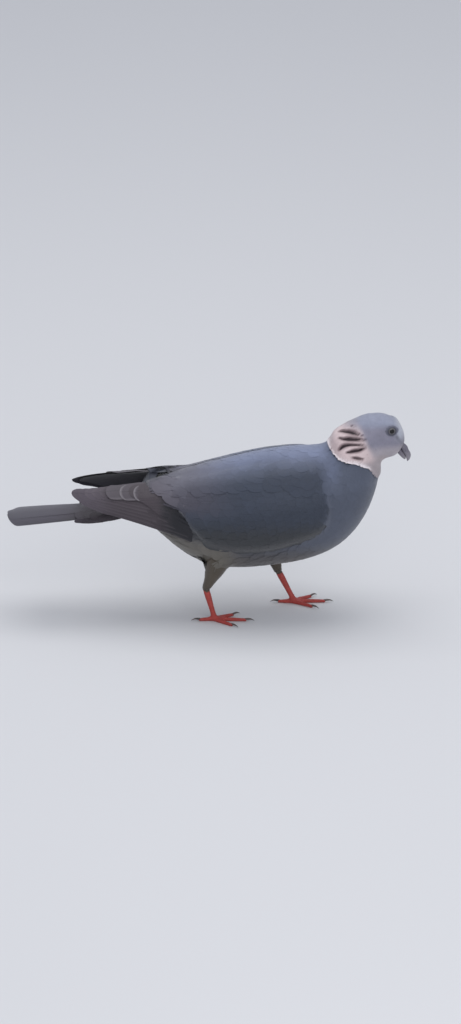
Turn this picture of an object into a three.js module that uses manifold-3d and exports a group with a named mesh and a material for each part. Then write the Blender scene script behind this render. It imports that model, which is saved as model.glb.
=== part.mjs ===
// A standing wood pigeon as a still model, life size, in millimetres.
// +Z is up and the bird faces +X, so its right side is at -Y.
// The origin is on the ground under the middle of its length.
import * as THREE from 'three';
import { mergeVertices } from 'three/addons/utils/BufferGeometryUtils.js';
import Module from 'manifold-3d';

const wasm = await Module();
wasm.setup();

// ---- driving dimensions ----

const GAP = 0.35;            // clear space between neighbouring solids
const BODY_SIDES = 28;       // facets around the body

// The body is a row of upright rings from the rump to the bill. Each ring runs
// from a point on the back to a point on the underside and is an egg-shaped
// oval: back x, back z, underside x, underside z, half width, egg shape
// (above 0 the oval is widest above its middle).
const BODY_RINGS = [
  [-62, 104, -59, 89, 20, 0],
  [-45, 114.5, -44, 75, 25, 0],
  [-24, 123, -24, 57, 32.5, 0],
  [-2, 129, -2, 44, 38.5, 0.03],
  [22, 135, 22, 41, 41.8, 0.05],
  [46, 140.5, 46, 42.5, 43, 0.06],
  [70, 143.5, 73, 46.5, 41.5, 0.06],
  [85, 144.3, 97, 54.5, 38.5, 0.04],
  [92.5, 145.5, 115, 67.5, 35, 0.02],
  [96.5, 148, 128, 85.5, 31, 0],
  [99.5, 151.5, 135.5, 103.5, 27.6, 0],
  [103.5, 156.8, 139, 118, 24.4, 0],
  [111.5, 163.3, 140.3, 125.2, 20.8, 0.04],
  [120.5, 168.7, 140.8, 129.6, 17.8, 0.1],
  [130.5, 172.3, 141.6, 132.4, 15.4, 0.14],
  [140.5, 173.2, 143.4, 134, 13.6, 0.17],
  [149, 170.4, 146.5, 134.9, 12.3, 0.2],
  [154.8, 165.9, 149.3, 135.6, 10.9, 0.2],
  [158.6, 159.6, 151.6, 136.4, 8.9, 0.16],
  [160.2, 153, 153.1, 137.4, 6.6, 0.1],
  [160.2, 147.8, 154.2, 138.9, 4.7, 0],
];
const COLLAR_RIM = 10.6;     // ring number where the collar ends over the mantle
const RIM_CUT = 0.045;       // half the cut there, in rings
const CHEEK_EDGE = 12.9;     // ring number where the collar meets the head
const CHEEK_CUT = 0.04;      // half the cut there, in rings
const LAST_RING = BODY_RINGS.length - 1;
const COLLAR_LIFT = 1.3;     // how far the collar's rim stands off the mantle
const COLLAR_SWAY = 0.5;     // rings that the rim sways back on the neck's sides
const THROAT_RISE = 0.45;    // rings that the rim is higher under the throat

// The head's own axes start between the eyes: along the bill and up from it.
const BETWEEN_EYES = { x: 149.7, z: 161.5 };
const HEAD_PITCH = 53;       // degrees that the bill points down
const EYE_RADIUS = 4.2;
const EYE_CENTRE_Y = 8.7;

// Bill rings: length along the bill and height of its top edge, the same of
// its bottom edge, half width.
const UPPER_BILL_RINGS = [
  [18.3, -0.5, 20.7, -5.4, 3.6],
  [20.8, 0, 22.2, -5.6, 3.4],
  [23.8, -0.5, 24.4, -5.9, 2.6],
  [26.9, -1.1, 27.1, -6.3, 2.2],
  [29.9, -2.7, 29.3, -6.9, 1.7],
  [31.7, -5.4, 30.8, -7.8, 0.9],
];
const LOWER_BILL_RINGS = [
  [20.9, -5.9, 22.7, -9.9, 3.2],
  [22.4, -6.1, 23.6, -9.8, 2.9],
  [24.5, -6.4, 25, -9.5, 2.1],
  [26.8, -6.8, 27, -9.2, 1.7],
  [28.8, -7.4, 28.8, -8.9, 0.8],
];

// The folded wing is a shell over the flank that leaves the body behind the
// rump. Each ring of it runs from the lower edge to the upper edge:
// lower x, y, z, upper x, y, z, bulge of the arc between them, thickness.
const WING_RINGS = [
  [-112.3, 16, 109.4, -112, 14, 111.8, 0.1, 0.8],
  [-109, 20, 106.8, -108.5, 15, 113, 0.6, 1.1],
  [-102, 25.6, 103.2, -101, 16.2, 114.4, 1.4, 1.4],
  [-90, 30.8, 98.5, -89, 17, 115.7, 2.4, 1.8],
  [-73, 33.5, 92.5, -73, 15.8, 117.5, 4, 2.4],
  [-55, 35, 86.5, -52, 12.8, 120, 7.2, 3],
  [-36, 36.4, 80.5, -36, 8, 123.2, 11, 3.6],
];
// Where the wing lies on the flank its y is the flank's own, so a ring is
// only lower x, z, upper x, z, thickness.
const WING_ON_BODY_RINGS = [
  [-16, 76.3, -18, 121, 4.6],
  [-2, 72.4, 0, 125.2, 5],
  [14, 67.8, 16, 129.5, 5.6],
  [33, 66.6, 35, 133.4, 6.2],
  [52, 68.4, 53, 136.2, 6.4],
  [70, 74, 69, 137.8, 6],
  [84, 79, 81, 137.6, 5],
  [92.5, 83.5, 89, 135, 4],
  [97, 90, 94.4, 128.6, 3],
  [98.6, 97.5, 97.6, 118, 2],
];
const WING_EDGE = 0.8;       // thickness of the wing's edges
const WING_SIDES = 8;        // facets from the lower to the upper edge
// The rear margin of the wing coverts over the flight feathers: x, z.
const COVERT_MARGIN = [
  [-3, 60],
  [-4.5, 75],
  [-15.5, 88],
  [-23, 100],
  [-38, 105],
  [-50, 112.5],
  [-53, 160],
];

// Tail rings: x, height of its middle, half width, half thickness.
const TAIL_RINGS = [
  [-62.6, 96.2, 18.5, 6.2],
  [-72, 93.2, 20, 5],
  [-86, 90.2, 22, 3.4],
  [-104, 88.3, 23.6, 2],
  [-126, 87.2, 24.2, 1.3],
  [-146, 86, 23, 0.9],
  [-158, 84.8, 20.6, 0.7],
  [-165.4, 84.2, 15, 0.5],
];
const TAIL_SIDES = 18;
const TAIL_CAMBER = 2.6;     // the tail's middle stands above its edges

// Legs: side of the body, and x of the thigh's top, of the ankle and of the foot.
const LEG_Y = 21;
const LEGS = {
  right: { side: -1, thighX: 9, ankleX: -2.5, footX: 4 },
  left: { side: 1, thighX: 48, ankleX: 57, footX: 69 },
};
const THIGH_TOP_Z = 55;
const ANKLE_Z = 28;
const FOOT_Z = 4;
const SHANK_RADIUS = 2.2;
const ANKLE_RADIUS = 2.9;
const THIGH_RADIUS = 10.5;
const STUB_SHARE = 0.16;     // share of the shank that is one solid with the foot

// Toes: angle from straight ahead, opening away from the body, and length.
const TOES = [
  { name: 'inner', angle: -36, length: 20 },
  { name: 'middle', angle: 3, length: 27 },
  { name: 'outer', angle: 42, length: 20.5 },
  { name: 'hind', angle: 176, length: 12.5 },
];
const TOE_HALF_WIDTH = 2.1;
const TOE_HEIGHT = 4;
const TOE_TAPER = 0.62;      // size of a toe's tip beside its root
const TOE_OVERLAP = 1.5;     // how far the toes run together under the shank
const CLAW_LENGTH = 6;
const CLAW_HALF_WIDTH = 0.85;
const CLAW_HEIGHT = 1.75;    // height of the claw's root over the ground
const CLAW_ARCH = 0.55;
const CLAW_DROP = 0.95;
const CLAW_TIP = 0.22;       // thickness of the claw's tip beside its root

const COLOURS = {
  slate: 0x565d6d,
  wing: 0x3f4652,
  flight: 0x4b454c,
  collar: 0xb9a5aa,
  head: 0x8b8c9c,
  tail: 0x5c5a64,
  thigh: 0x66625d,
  bill: 0x77737c,
  eye: 0x2c2a2c,
  leg: 0xa8453f,
  claw: 0x3a3431,
};

// ---- helpers ----

function material(colour, roughness) {
  return new THREE.MeshStandardMaterial({ color: colour, roughness, metalness: 0 });
}

function signedVolume(positions, triangles) {
  const a = new THREE.Vector3();
  const b = new THREE.Vector3();
  const c = new THREE.Vector3();
  let volume = 0;
  for (let i = 0; i < triangles.length; i += 3) {
    a.fromArray(positions, triangles[i] * 3);
    b.fromArray(positions, triangles[i + 1] * 3);
    c.fromArray(positions, triangles[i + 2] * 3);
    volume += a.dot(b.cross(c)) / 6;
  }
  return volume;
}

// A closed body through rings of equally many points, with a fan at each end.
function loft(rings) {
  const count = rings[0].length;
  const positions = [];
  const triangles = [];
  for (const ring of rings) {
    for (const point of ring) {
      positions.push(point.x, point.y, point.z);
    }
  }
  for (let i = 0; i < rings.length - 1; i += 1) {
    for (let j = 0; j < count; j += 1) {
      const a = i * count + j;
      const b = i * count + ((j + 1) % count);
      triangles.push(a, b, b + count, a, b + count, a + count);
    }
  }
  for (const end of [0, rings.length - 1]) {
    const middle = new THREE.Vector3();
    for (const point of rings[end]) {
      middle.addScaledVector(point, 1 / count);
    }
    const hub = positions.length / 3;
    positions.push(middle.x, middle.y, middle.z);
    for (let j = 0; j < count; j += 1) {
      const a = end * count + j;
      const b = end * count + ((j + 1) % count);
      if (end === 0) {
        triangles.push(hub, b, a);
      } else {
        triangles.push(hub, a, b);
      }
    }
  }
  if (signedVolume(positions, triangles) < 0) {
    for (let i = 0; i < triangles.length; i += 3) {
      [triangles[i], triangles[i + 1]] = [triangles[i + 1], triangles[i]];
    }
  }
  const geometry = new THREE.BufferGeometry();
  geometry.setAttribute('position', new THREE.Float32BufferAttribute(positions, 3));
  geometry.setIndex(triangles);
  return geometry;
}

function toSolid(geometry) {
  const bare = geometry.clone();
  bare.deleteAttribute('normal');
  bare.deleteAttribute('uv');
  const merged = mergeVertices(bare, 1e-4);
  return new wasm.Manifold(new wasm.Mesh({
    numProp: 3,
    vertProperties: new Float32Array(merged.attributes.position.array),
    triVerts: new Uint32Array(merged.index.array),
  }));
}

function toGeometry(solid) {
  const mesh = solid.getMesh();
  const geometry = new THREE.BufferGeometry();
  geometry.setAttribute('position', new THREE.BufferAttribute(mesh.vertProperties, 3));
  geometry.setIndex(new THREE.BufferAttribute(mesh.triVerts, 1));
  return geometry;
}

// Values between the rows of a table, along a smooth curve through them.
function smoothRow(table, place) {
  const last = table.length - 1;
  const i = Math.min(Math.floor(place), last - 1);
  const s = place - i;
  const row = (k) => table[Math.min(Math.max(k, 0), last)];
  const [a, b, c, d] = [row(i - 1), row(i), row(i + 1), row(i + 2)];
  return b.map((value, k) => {
    const before = (c[k] - a[k]) / 2;
    const after = (d[k] - b[k]) / 2;
    const rise = c[k] - value;
    const bend = 3 * rise - 2 * before - after;
    const twist = before + after - 2 * rise;
    return value + s * (before + s * (bend + s * twist));
  });
}

function spread(from, to, steps) {
  return Array.from({ length: steps + 1 }, (_, i) => from + ((to - from) * i) / steps);
}

// ---- the body's surface ----

// A point of the body: ring number, angle from the back (positive on +Y).
function bodySkin(place, angle) {
  const [bx, bz, ux, uz, half, egg] = smoothRow(BODY_RINGS, place);
  const c = Math.cos(angle);
  const y = half * Math.sin(angle) * (1 + egg * c);
  return new THREE.Vector3((bx + ux + (bx - ux) * c) / 2, y, (bz + uz + (bz - uz) * c) / 2);
}

function bodyNormal(place, angle) {
  const step = 0.02;
  const along = bodySkin(Math.min(place + step, LAST_RING), angle);
  along.sub(bodySkin(Math.max(place - step, 0), angle));
  const around = bodySkin(place, angle + step).sub(bodySkin(place, angle - step));
  return along.cross(around).normalize();
}

function bodyPoint(place, angle, lift) {
  return bodySkin(place, angle).addScaledVector(bodyNormal(place, angle), lift);
}

// The ring that passes through a point of the side view, by halving.
function ringThrough(x, z) {
  const halvings = 40;
  let low = 0;
  let high = COLLAR_RIM + 1;
  for (let i = 0; i < halvings; i += 1) {
    const middle = (low + high) / 2;
    const [bx, bz, ux, uz] = smoothRow(BODY_RINGS, middle);
    const ahead = (bz - uz) * (x - ux) - (bx - ux) * (z - uz) > 0;
    if (ahead) {
      low = middle;
    } else {
      high = middle;
    }
  }
  return low;
}

// The body's surface on +Y at a point of the side view, lifted off it.
function flankPoint(x, z, lift) {
  const place = ringThrough(x, z);
  const [, bz, , uz] = smoothRow(BODY_RINGS, place);
  const c = Math.min(Math.max((2 * z - bz - uz) / (bz - uz), -1), 1);
  return bodyPoint(place, Math.acos(c), lift);
}

// The collar's rim sways down the sides of the neck and up at the throat.
function rimSway(angle) {
  const round = Math.abs(Math.PI - Math.abs(Math.PI - angle));
  return THROAT_RISE * ((1 - Math.cos(round)) / 2) - COLLAR_SWAY * Math.sin(2 * round);
}

// Rings of the body between two ring numbers; sway bends the end named by it.
function bodyPiece(from, to, steps, lift, sway) {
  const rings = spread(0, 1, steps).map((share) => {
    const angles = spread(0, 2 * Math.PI, BODY_SIDES).slice(0, -1);
    return angles.map((angle) => {
      const low = from + (sway === 'from' ? rimSway(angle) : 0);
      const high = to + (sway === 'to' ? rimSway(angle) : 0);
      return bodyPoint(low + (high - low) * share, angle, lift(share));
    });
  });
  return loft(rings);
}

// ---- head, neck and trunk ----

function headPoint(along, up, y) {
  const pitch = THREE.MathUtils.degToRad(HEAD_PITCH);
  const x = BETWEEN_EYES.x + along * Math.cos(pitch) + up * Math.sin(pitch);
  const z = BETWEEN_EYES.z - along * Math.sin(pitch) + up * Math.cos(pitch);
  return new THREE.Vector3(x, y, z);
}

function eyeball(side, radius) {
  const ball = new THREE.SphereGeometry(radius, 14, 10);
  const centre = headPoint(0, 0, side * EYE_CENTRE_Y);
  return ball.translate(centre.x, centre.y, centre.z);
}

function head() {
  const whole = toSolid(bodyPiece(CHEEK_EDGE + CHEEK_CUT, LAST_RING, 15, () => 0));
  const right = toSolid(eyeball(-1, EYE_RADIUS + GAP));
  const left = toSolid(eyeball(1, EYE_RADIUS + GAP));
  return toGeometry(whole.subtract(right).subtract(left));
}

function collar() {
  const lift = (share) => COLLAR_LIFT * Math.cos((share * Math.PI) / 2) ** 2;
  return bodyPiece(COLLAR_RIM + RIM_CUT, CHEEK_EDGE - CHEEK_CUT, 6, lift, 'from');
}

function trunk(lift) {
  return bodyPiece(0, COLLAR_RIM - RIM_CUT, 27, () => lift, 'to');
}

function billHalf(rows) {
  const sides = 10;
  const rings = spread(0, rows.length - 1, 7).map((place) => {
    const [topAlong, topUp, lowAlong, lowUp, half] = smoothRow(rows, place);
    return spread(0, 2 * Math.PI, sides).slice(0, -1).map((angle) => {
      const share = (1 + Math.cos(angle)) / 2;
      const along = lowAlong + (topAlong - lowAlong) * share;
      const up = lowUp + (topUp - lowUp) * share;
      return headPoint(along, up, half * Math.sin(angle));
    });
  });
  return loft(rings);
}

// ---- wings ----

// One arc of the folded wing on +Y: its inner face at share 0 of the thickness
// and its outer face at share 1.
function wingArc(place, outerShare) {
  const free = WING_RINGS.length - 1;
  const rows = spread(0, 1, WING_SIDES);
  if (place <= free) {
    const [lx, ly, lz, ux, uy, uz, bulge, thick] = smoothRow(WING_RINGS, place);
    const outward = new THREE.Vector3(0, uz - lz, ly - uy).normalize();
    return rows.map((share) => {
      const arch = 4 * share * (1 - share);
      const depth = outerShare * (WING_EDGE + (thick - WING_EDGE) * arch);
      const point = new THREE.Vector3(lx, ly, lz).lerp(new THREE.Vector3(ux, uy, uz), share);
      return point.addScaledVector(outward, bulge * arch + depth);
    });
  }
  const [lx, lz, ux, uz, thick] = smoothRow(WING_ON_BODY_RINGS, place - free - 1);
  return rows.map((share) => {
    const arch = 4 * share * (1 - share);
    const depth = outerShare * (WING_EDGE + (thick - WING_EDGE) * Math.sqrt(arch));
    return flankPoint(lx + (ux - lx) * share, lz + (uz - lz) * share, GAP * 2 + depth);
  });
}

function wholeWing(side) {
  const free = WING_RINGS.length - 1;
  const onBody = WING_ON_BODY_RINGS.length - 1;
  const places = [...spread(0, free, 9), ...spread(free + 1, free + 1 + onBody, 13)];
  const rings = places.map((place) => {
    const outer = wingArc(place, 1);
    const inner = wingArc(place, 0).reverse();
    return [...outer, ...inner].map((point) => new THREE.Vector3(point.x, side * point.y, point.z));
  });
  return toSolid(loft(rings));
}

// Everything ahead of the coverts' rear margin, as a block cut along it.
function aheadOfMargin(shift) {
  const shape = new THREE.Shape();
  const ahead = 160;
  shape.moveTo(ahead, COVERT_MARGIN[0][1]);
  for (const [x, z] of COVERT_MARGIN) {
    shape.lineTo(x + shift, z + shift);
  }
  shape.lineTo(ahead, COVERT_MARGIN.at(-1)[1]);
  const depth = 140;
  const block = new THREE.ExtrudeGeometry(shape, { depth, bevelEnabled: false });
  return toSolid(block.rotateX(Math.PI / 2).translate(0, depth / 2, 0));
}

function wingCoverts(side) {
  return toGeometry(wholeWing(side).intersect(aheadOfMargin(GAP)));
}

function flightFeathers(side) {
  return toGeometry(wholeWing(side).subtract(aheadOfMargin(0)));
}

// ---- tail ----

function tail() {
  const rings = spread(0, TAIL_RINGS.length - 1, 10).map((place) => {
    const [x, middle, half, thick] = smoothRow(TAIL_RINGS, place);
    return spread(0, 2 * Math.PI, TAIL_SIDES).slice(0, -1).map((angle) => {
      const y = half * Math.sin(angle);
      const camber = TAIL_CAMBER * (1 - (y / half) ** 2);
      return new THREE.Vector3(x, y, middle + camber - TAIL_CAMBER / 2 + thick * Math.cos(angle));
    });
  });
  return loft(rings);
}

// ---- legs ----

// A round bar that tapers between two points.
function taper(from, to, fromRadius, toRadius, sides, steps) {
  const axis = to.clone().sub(from);
  const across = new THREE.Vector3(0, 1, 0).cross(axis).normalize();
  const other = axis.clone().cross(across).normalize();
  const rings = spread(0, 1, steps).map((share) => {
    const centre = from.clone().addScaledVector(axis, share);
    const ease = share * share * (3 - 2 * share);
    const radius = fromRadius + (toRadius - fromRadius) * ease;
    return spread(0, 2 * Math.PI, sides).slice(0, -1).map((angle) => {
      const point = centre.clone().addScaledVector(across, radius * Math.cos(angle));
      return point.addScaledVector(other, radius * Math.sin(angle));
    });
  });
  return loft(rings);
}

function ankle(leg) {
  return new THREE.Vector3(leg.ankleX, leg.side * LEG_Y, ANKLE_Z);
}

function footJoint(leg) {
  return new THREE.Vector3(leg.footX, leg.side * LEG_Y, FOOT_Z);
}

function shank(leg, grow) {
  const low = footJoint(leg).lerp(ankle(leg), STUB_SHARE + 0.015);
  const axis = ankle(leg).sub(low).normalize();
  const high = ankle(leg).addScaledVector(axis, grow);
  return taper(low, high, SHANK_RADIUS + grow, ANKLE_RADIUS + grow, 12, 5);
}

// The feathered thigh closes round the top of the shank.
function thigh(leg) {
  const top = new THREE.Vector3(leg.thighX, leg.side * LEG_Y, THIGH_TOP_Z);
  const low = ankle(leg).lerp(top, -0.06);
  const whole = toSolid(taper(low, top, ANKLE_RADIUS + 0.9, THIGH_RADIUS, 14, 6));
  return toGeometry(whole.subtract(toSolid(trunk(GAP))).subtract(toSolid(shank(leg, GAP))));
}

function toeDirection(leg, toe) {
  const angle = THREE.MathUtils.degToRad(toe.angle);
  return new THREE.Vector3(Math.cos(angle), leg.side * Math.sin(angle), 0);
}

// A toe lies on the ground with a flat sole and tapers to its tip.
function toeBar(from, direction, length) {
  const across = new THREE.Vector3(-direction.y, direction.x, 0);
  const sides = 10;
  const middle = 0.42;
  const rings = spread(0, 1, 4).map((share) => {
    const size = 1 - (1 - TOE_TAPER) * share;
    const centre = from.clone().addScaledVector(direction, length * share);
    return spread(0, 2 * Math.PI, sides).slice(0, -1).map((angle) => {
      const point = centre.clone().addScaledVector(across, TOE_HALF_WIDTH * size * Math.cos(angle));
      point.z = Math.max(0, TOE_HEIGHT * size * (middle + (1 - middle) * Math.sin(angle)));
      return point;
    });
  });
  return loft(rings);
}

function foot(leg) {
  const joint = footJoint(leg);
  const ground = new THREE.Vector3(joint.x, joint.y, 0);
  const top = joint.clone().lerp(ankle(leg), STUB_SHARE);
  const low = joint.clone().lerp(ankle(leg), -0.07);
  let whole = toSolid(taper(low, top, SHANK_RADIUS + 0.5, SHANK_RADIUS, 12, 2));
  for (const toe of TOES) {
    const direction = toeDirection(leg, toe);
    const start = ground.clone().addScaledVector(direction, -TOE_OVERLAP);
    whole = whole.add(toSolid(toeBar(start, direction, toe.length + TOE_OVERLAP)));
  }
  return toGeometry(whole);
}

// A curved claw from the toe's end down to just above the ground.
function claw(leg, toe) {
  const direction = toeDirection(leg, toe);
  const across = new THREE.Vector3(-direction.y, direction.x, 0);
  const joint = footJoint(leg);
  const sides = 7;
  const rings = spread(0, 1, 4).map((share) => {
    const reach = toe.length + GAP + CLAW_LENGTH * share;
    const height = CLAW_HEIGHT + CLAW_ARCH * Math.sin(Math.PI * share) - CLAW_DROP * share * share;
    const radius = CLAW_HALF_WIDTH * (1 - (1 - CLAW_TIP) * share);
    const centre = new THREE.Vector3(joint.x, joint.y, height).addScaledVector(direction, reach);
    return spread(0, 2 * Math.PI, sides).slice(0, -1).map((angle) => {
      const point = centre.clone().addScaledVector(across, radius * Math.cos(angle));
      point.z += 1.15 * radius * Math.sin(angle);
      return point;
    });
  });
  return loft(rings);
}

// ---- the whole bird ----

const bird = new THREE.Group();

function add(name, geometry, colour, roughness) {
  const mesh = new THREE.Mesh(geometry, material(colour, roughness));
  mesh.name = name;
  bird.add(mesh);
}

add('trunk', trunk(0), COLOURS.slate, 0.85);
add('collar', collar(), COLOURS.collar, 0.85);
add('head', head(), COLOURS.head, 0.85);
add('upper_bill', billHalf(UPPER_BILL_RINGS), COLOURS.bill, 0.5);
add('lower_bill', billHalf(LOWER_BILL_RINGS), COLOURS.bill, 0.5);
add('tail', tail(), COLOURS.tail, 0.8);

for (const [name, leg] of Object.entries(LEGS)) {
  add(`eye_${name}`, eyeball(leg.side, EYE_RADIUS), COLOURS.eye, 0.15);
  add(`wing_${name}`, wingCoverts(leg.side), COLOURS.wing, 0.8);
  add(`flight_feathers_${name}`, flightFeathers(leg.side), COLOURS.flight, 0.75);
  add(`thigh_${name}`, thigh(leg), COLOURS.thigh, 0.9);
  add(`shank_${name}`, shank(leg, 0), COLOURS.leg, 0.55);
  add(`foot_${name}`, foot(leg), COLOURS.leg, 0.55);
  for (const toe of TOES) {
    add(`claw_${toe.name}_${name}`, claw(leg, toe), COLOURS.claw, 0.4);
  }
}

export default bird;
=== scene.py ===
import math

import bpy
import numpy as np
from mathutils.bvhtree import BVHTree
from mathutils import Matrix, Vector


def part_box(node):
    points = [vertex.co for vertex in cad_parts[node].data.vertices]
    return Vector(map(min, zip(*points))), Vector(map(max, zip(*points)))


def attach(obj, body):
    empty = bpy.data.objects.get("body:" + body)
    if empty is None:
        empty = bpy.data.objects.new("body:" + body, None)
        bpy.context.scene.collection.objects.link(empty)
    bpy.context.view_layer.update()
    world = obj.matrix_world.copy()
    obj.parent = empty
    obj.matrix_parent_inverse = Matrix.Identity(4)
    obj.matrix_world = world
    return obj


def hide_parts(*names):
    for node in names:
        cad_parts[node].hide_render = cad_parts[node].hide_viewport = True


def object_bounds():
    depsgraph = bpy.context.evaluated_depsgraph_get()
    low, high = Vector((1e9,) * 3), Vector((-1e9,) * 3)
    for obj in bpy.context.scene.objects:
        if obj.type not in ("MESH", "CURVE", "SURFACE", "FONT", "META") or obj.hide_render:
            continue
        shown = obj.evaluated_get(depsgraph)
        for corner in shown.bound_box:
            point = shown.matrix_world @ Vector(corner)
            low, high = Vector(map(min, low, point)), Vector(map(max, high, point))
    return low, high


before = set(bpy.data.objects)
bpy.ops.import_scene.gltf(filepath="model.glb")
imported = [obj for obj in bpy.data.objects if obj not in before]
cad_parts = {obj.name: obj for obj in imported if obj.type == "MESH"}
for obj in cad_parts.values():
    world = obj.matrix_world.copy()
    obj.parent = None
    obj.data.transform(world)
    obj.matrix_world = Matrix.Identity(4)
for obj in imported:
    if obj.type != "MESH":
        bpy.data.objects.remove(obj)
CAD_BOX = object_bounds()

# A standing wood pigeon: a skin with its bare legs, and over it every feather as a thin closed vane.
# The bird faces +X, its right side is at -Y, and the ground is z = 0. Lengths are in metres.

MM = 0.001
RANDOM = np.random.default_rng(11)
SIDES = {"right": -1, "left": 1}


def step(low, high, value):
    """0 before low, 1 past high and a soft slope between; low may be the greater one."""
    share = np.clip((value - low) / (high - low), 0, 1)
    return share * share * (3 - 2 * share)


def near(points, spot, inner, outer):
    """1 within inner of a spot, 0 past outer."""
    return step(outer, inner, np.linalg.norm(points - np.asarray(spot), axis=1))


def unit(vectors):
    """Vectors made one unit long."""
    length = np.linalg.norm(vectors, axis=-1, keepdims=True)
    return vectors / np.maximum(length, 1e-12)


def tint(code):
    """A colour written as 0xRRGGBB, as the linear numbers that the shaders use."""
    parts = np.array([code >> 16, code >> 8 & 255, code & 255]) / 255
    return np.where(parts < 0.04045, parts / 12.92, ((parts + 0.055) / 1.055) ** 2.4)


def blend(share, first, second):
    """Colours that go from the first to the second with the share."""
    share = np.asarray(share)[..., None]
    return first * (1 - share) + second * share


# ---- meshes as arrays ----

def smoothed(values, rounds):
    """Values along the first axis, each mixed with its neighbours."""
    for _ in range(rounds):
        ends = np.concatenate([values[:1], values, values[-1:]])
        values = (ends[:-2] + 2 * ends[1:-1] + ends[2:]) / 4
    return values


def read_mesh(mesh):
    """A mesh's points and triangles as arrays."""
    mesh.calc_loop_triangles()
    points = np.empty(len(mesh.vertices) * 3, np.float32)
    triangles = np.empty(len(mesh.loop_triangles) * 3, np.int32)
    mesh.vertices.foreach_get("co", points)
    mesh.loop_triangles.foreach_get("vertices", triangles)
    return points.reshape(-1, 3).astype(float), triangles.reshape(-1, 3)


def weld(points, triangles, grain=1e-6):
    """Joins the points that share a place."""
    keys = np.round(points / grain).astype(np.int64)
    _, first, where = np.unique(keys, axis=0, return_index=True, return_inverse=True)
    triangles = where.reshape(-1)[triangles]
    whole = (triangles != np.roll(triangles, 1, 1)).all(1)
    return points[first], triangles[whole]


def node_mesh(*names):
    """The welded points and triangles of some CAD nodes, and the number of each triangle's node."""
    points, triangles, owners, count = [], [], [], 0
    for number, name in enumerate(names):
        own_points, own_triangles = weld(*read_mesh(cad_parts[name].data))
        points.append(own_points)
        triangles.append(own_triangles + count)
        owners.append(np.full(len(own_triangles), number))
        count += len(own_points)
    return np.concatenate(points), np.concatenate(triangles), np.concatenate(owners)


def corners(points, triangles):
    """The places of each triangle's three corners."""
    return (points[triangles[:, k]] for k in range(3))


def tree_of(points, triangles):
    """A search tree over a mesh, for the nearest spot to a place and for what a ray meets."""
    return BVHTree.FromPolygons(points.tolist(), triangles.tolist())


def read_grid(values, i, j):
    """A table's values at places between its rows and columns."""
    i, j = (np.clip(place, 0, size - 1.001) for place, size in zip((i, j), values.shape))
    i0, j0 = i.astype(int), j.astype(int)
    ahead, aside = i - i0, j - j0
    here = values[i0, j0] * (1 - aside) + values[i0, j0 + 1] * aside
    there = values[i0 + 1, j0] * (1 - aside) + values[i0 + 1, j0 + 1] * aside
    return here * (1 - ahead) + there * ahead


def smoothed_grid(values, down, across):
    """A table mixed with its neighbours down its columns, then across its rows."""
    return smoothed(smoothed(values, down).T, across).T


def resampled(table, count, measures=None):
    """Rows spread evenly along a table's own line, whose length is told by its first few measures."""
    table = np.array(table)
    steps = np.linalg.norm(np.diff(table[:, :measures], axis=0), axis=1)
    length = np.concatenate([[0], np.cumsum(steps)])
    fine = np.linspace(0, length[-1], count)
    return np.stack([np.interp(fine, length, column) for column in table.T], 1)


def tube_faces(rows, turns, closed=False):
    """Triangles of a tube of rings; closed joins the last ring to the first, else each end gets a fan.

    The fans meet in two more points, which come after the rings.
    """
    faces = []
    for i in range(rows if closed else rows - 1):
        for j in range(turns):
            a, b = i * turns + j, i * turns + (j + 1) % turns
            d, c = (i + 1) % rows * turns + j, (i + 1) % rows * turns + (j + 1) % turns
            faces += [(a, b, c), (a, c, d)]
    if not closed:
        last = (rows - 1) * turns
        faces += [(rows * turns, (j + 1) % turns, j) for j in range(turns)]
        faces += [(rows * turns + 1, last + j, last + (j + 1) % turns) for j in range(turns)]
    return np.array(faces)


def point_normals(points, triangles):
    """A direction at each point, the mean of its triangles' by their size."""
    a, b, c = corners(points, triangles)
    faces = np.cross(b - a, c - a)
    total = np.zeros_like(points)
    for corner_of_each in triangles.T:
        for axis in range(3):
            total[:, axis] += np.bincount(corner_of_each, faces[:, axis], len(points))
    return unit(total)


def point_links(triangles):
    """Both directions of every edge, each once."""
    pairs = np.concatenate([triangles[:, [0, 1]], triangles[:, [1, 2]], triangles[:, [2, 0]]])
    pairs = np.concatenate([pairs, pairs[:, ::-1]])
    count = triangles.max() + 1
    codes = np.unique(pairs[:, 0].astype(np.int64) * count + pairs[:, 1])
    return codes // count, codes % count


def relax(values, links, rounds, strength=0.5):
    """Moves each point's values towards its neighbours' mean, by a strength that may differ by point."""
    start, end = links
    size = len(values)
    degree = np.maximum(np.bincount(start, minlength=size), 1)[:, None]
    strength = np.broadcast_to(np.asarray(strength, float), size)[:, None]
    for _ in range(rounds):
        mean = np.stack([np.bincount(start, column[end], size) for column in values.T], 1) / degree
        values = values + strength * (mean - values)
    return values


def added(name, data):
    """A new object in the scene."""
    thing = bpy.data.objects.new(name, data)
    bpy.context.scene.collection.objects.link(thing)
    return thing


def remeshed(points, triangles, voxel):
    """One closed even mesh round overlapping closed ones."""
    mesh = bpy.data.meshes.new("clay")
    mesh.from_pydata(points.tolist(), [], triangles.tolist())
    clay = added("clay", mesh)
    change = clay.modifiers.new("remesh", "REMESH")
    change.mode = "VOXEL"
    change.voxel_size = voxel
    shaped = clay.evaluated_get(bpy.context.evaluated_depsgraph_get())
    result = read_mesh(shaped.to_mesh())
    shaped.to_mesh_clear()
    bpy.data.objects.remove(clay)
    bpy.data.meshes.remove(mesh)
    return result


def merged(names, swell, voxel):
    """CAD nodes swollen so that the cuts between them close, and remeshed as one body."""
    points, triangles, _ = node_mesh(*names)
    points = points + point_normals(points, triangles) * swell
    points, triangles = remeshed(points, triangles, voxel)
    return points - point_normals(points, triangles) * swell, triangles


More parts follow.
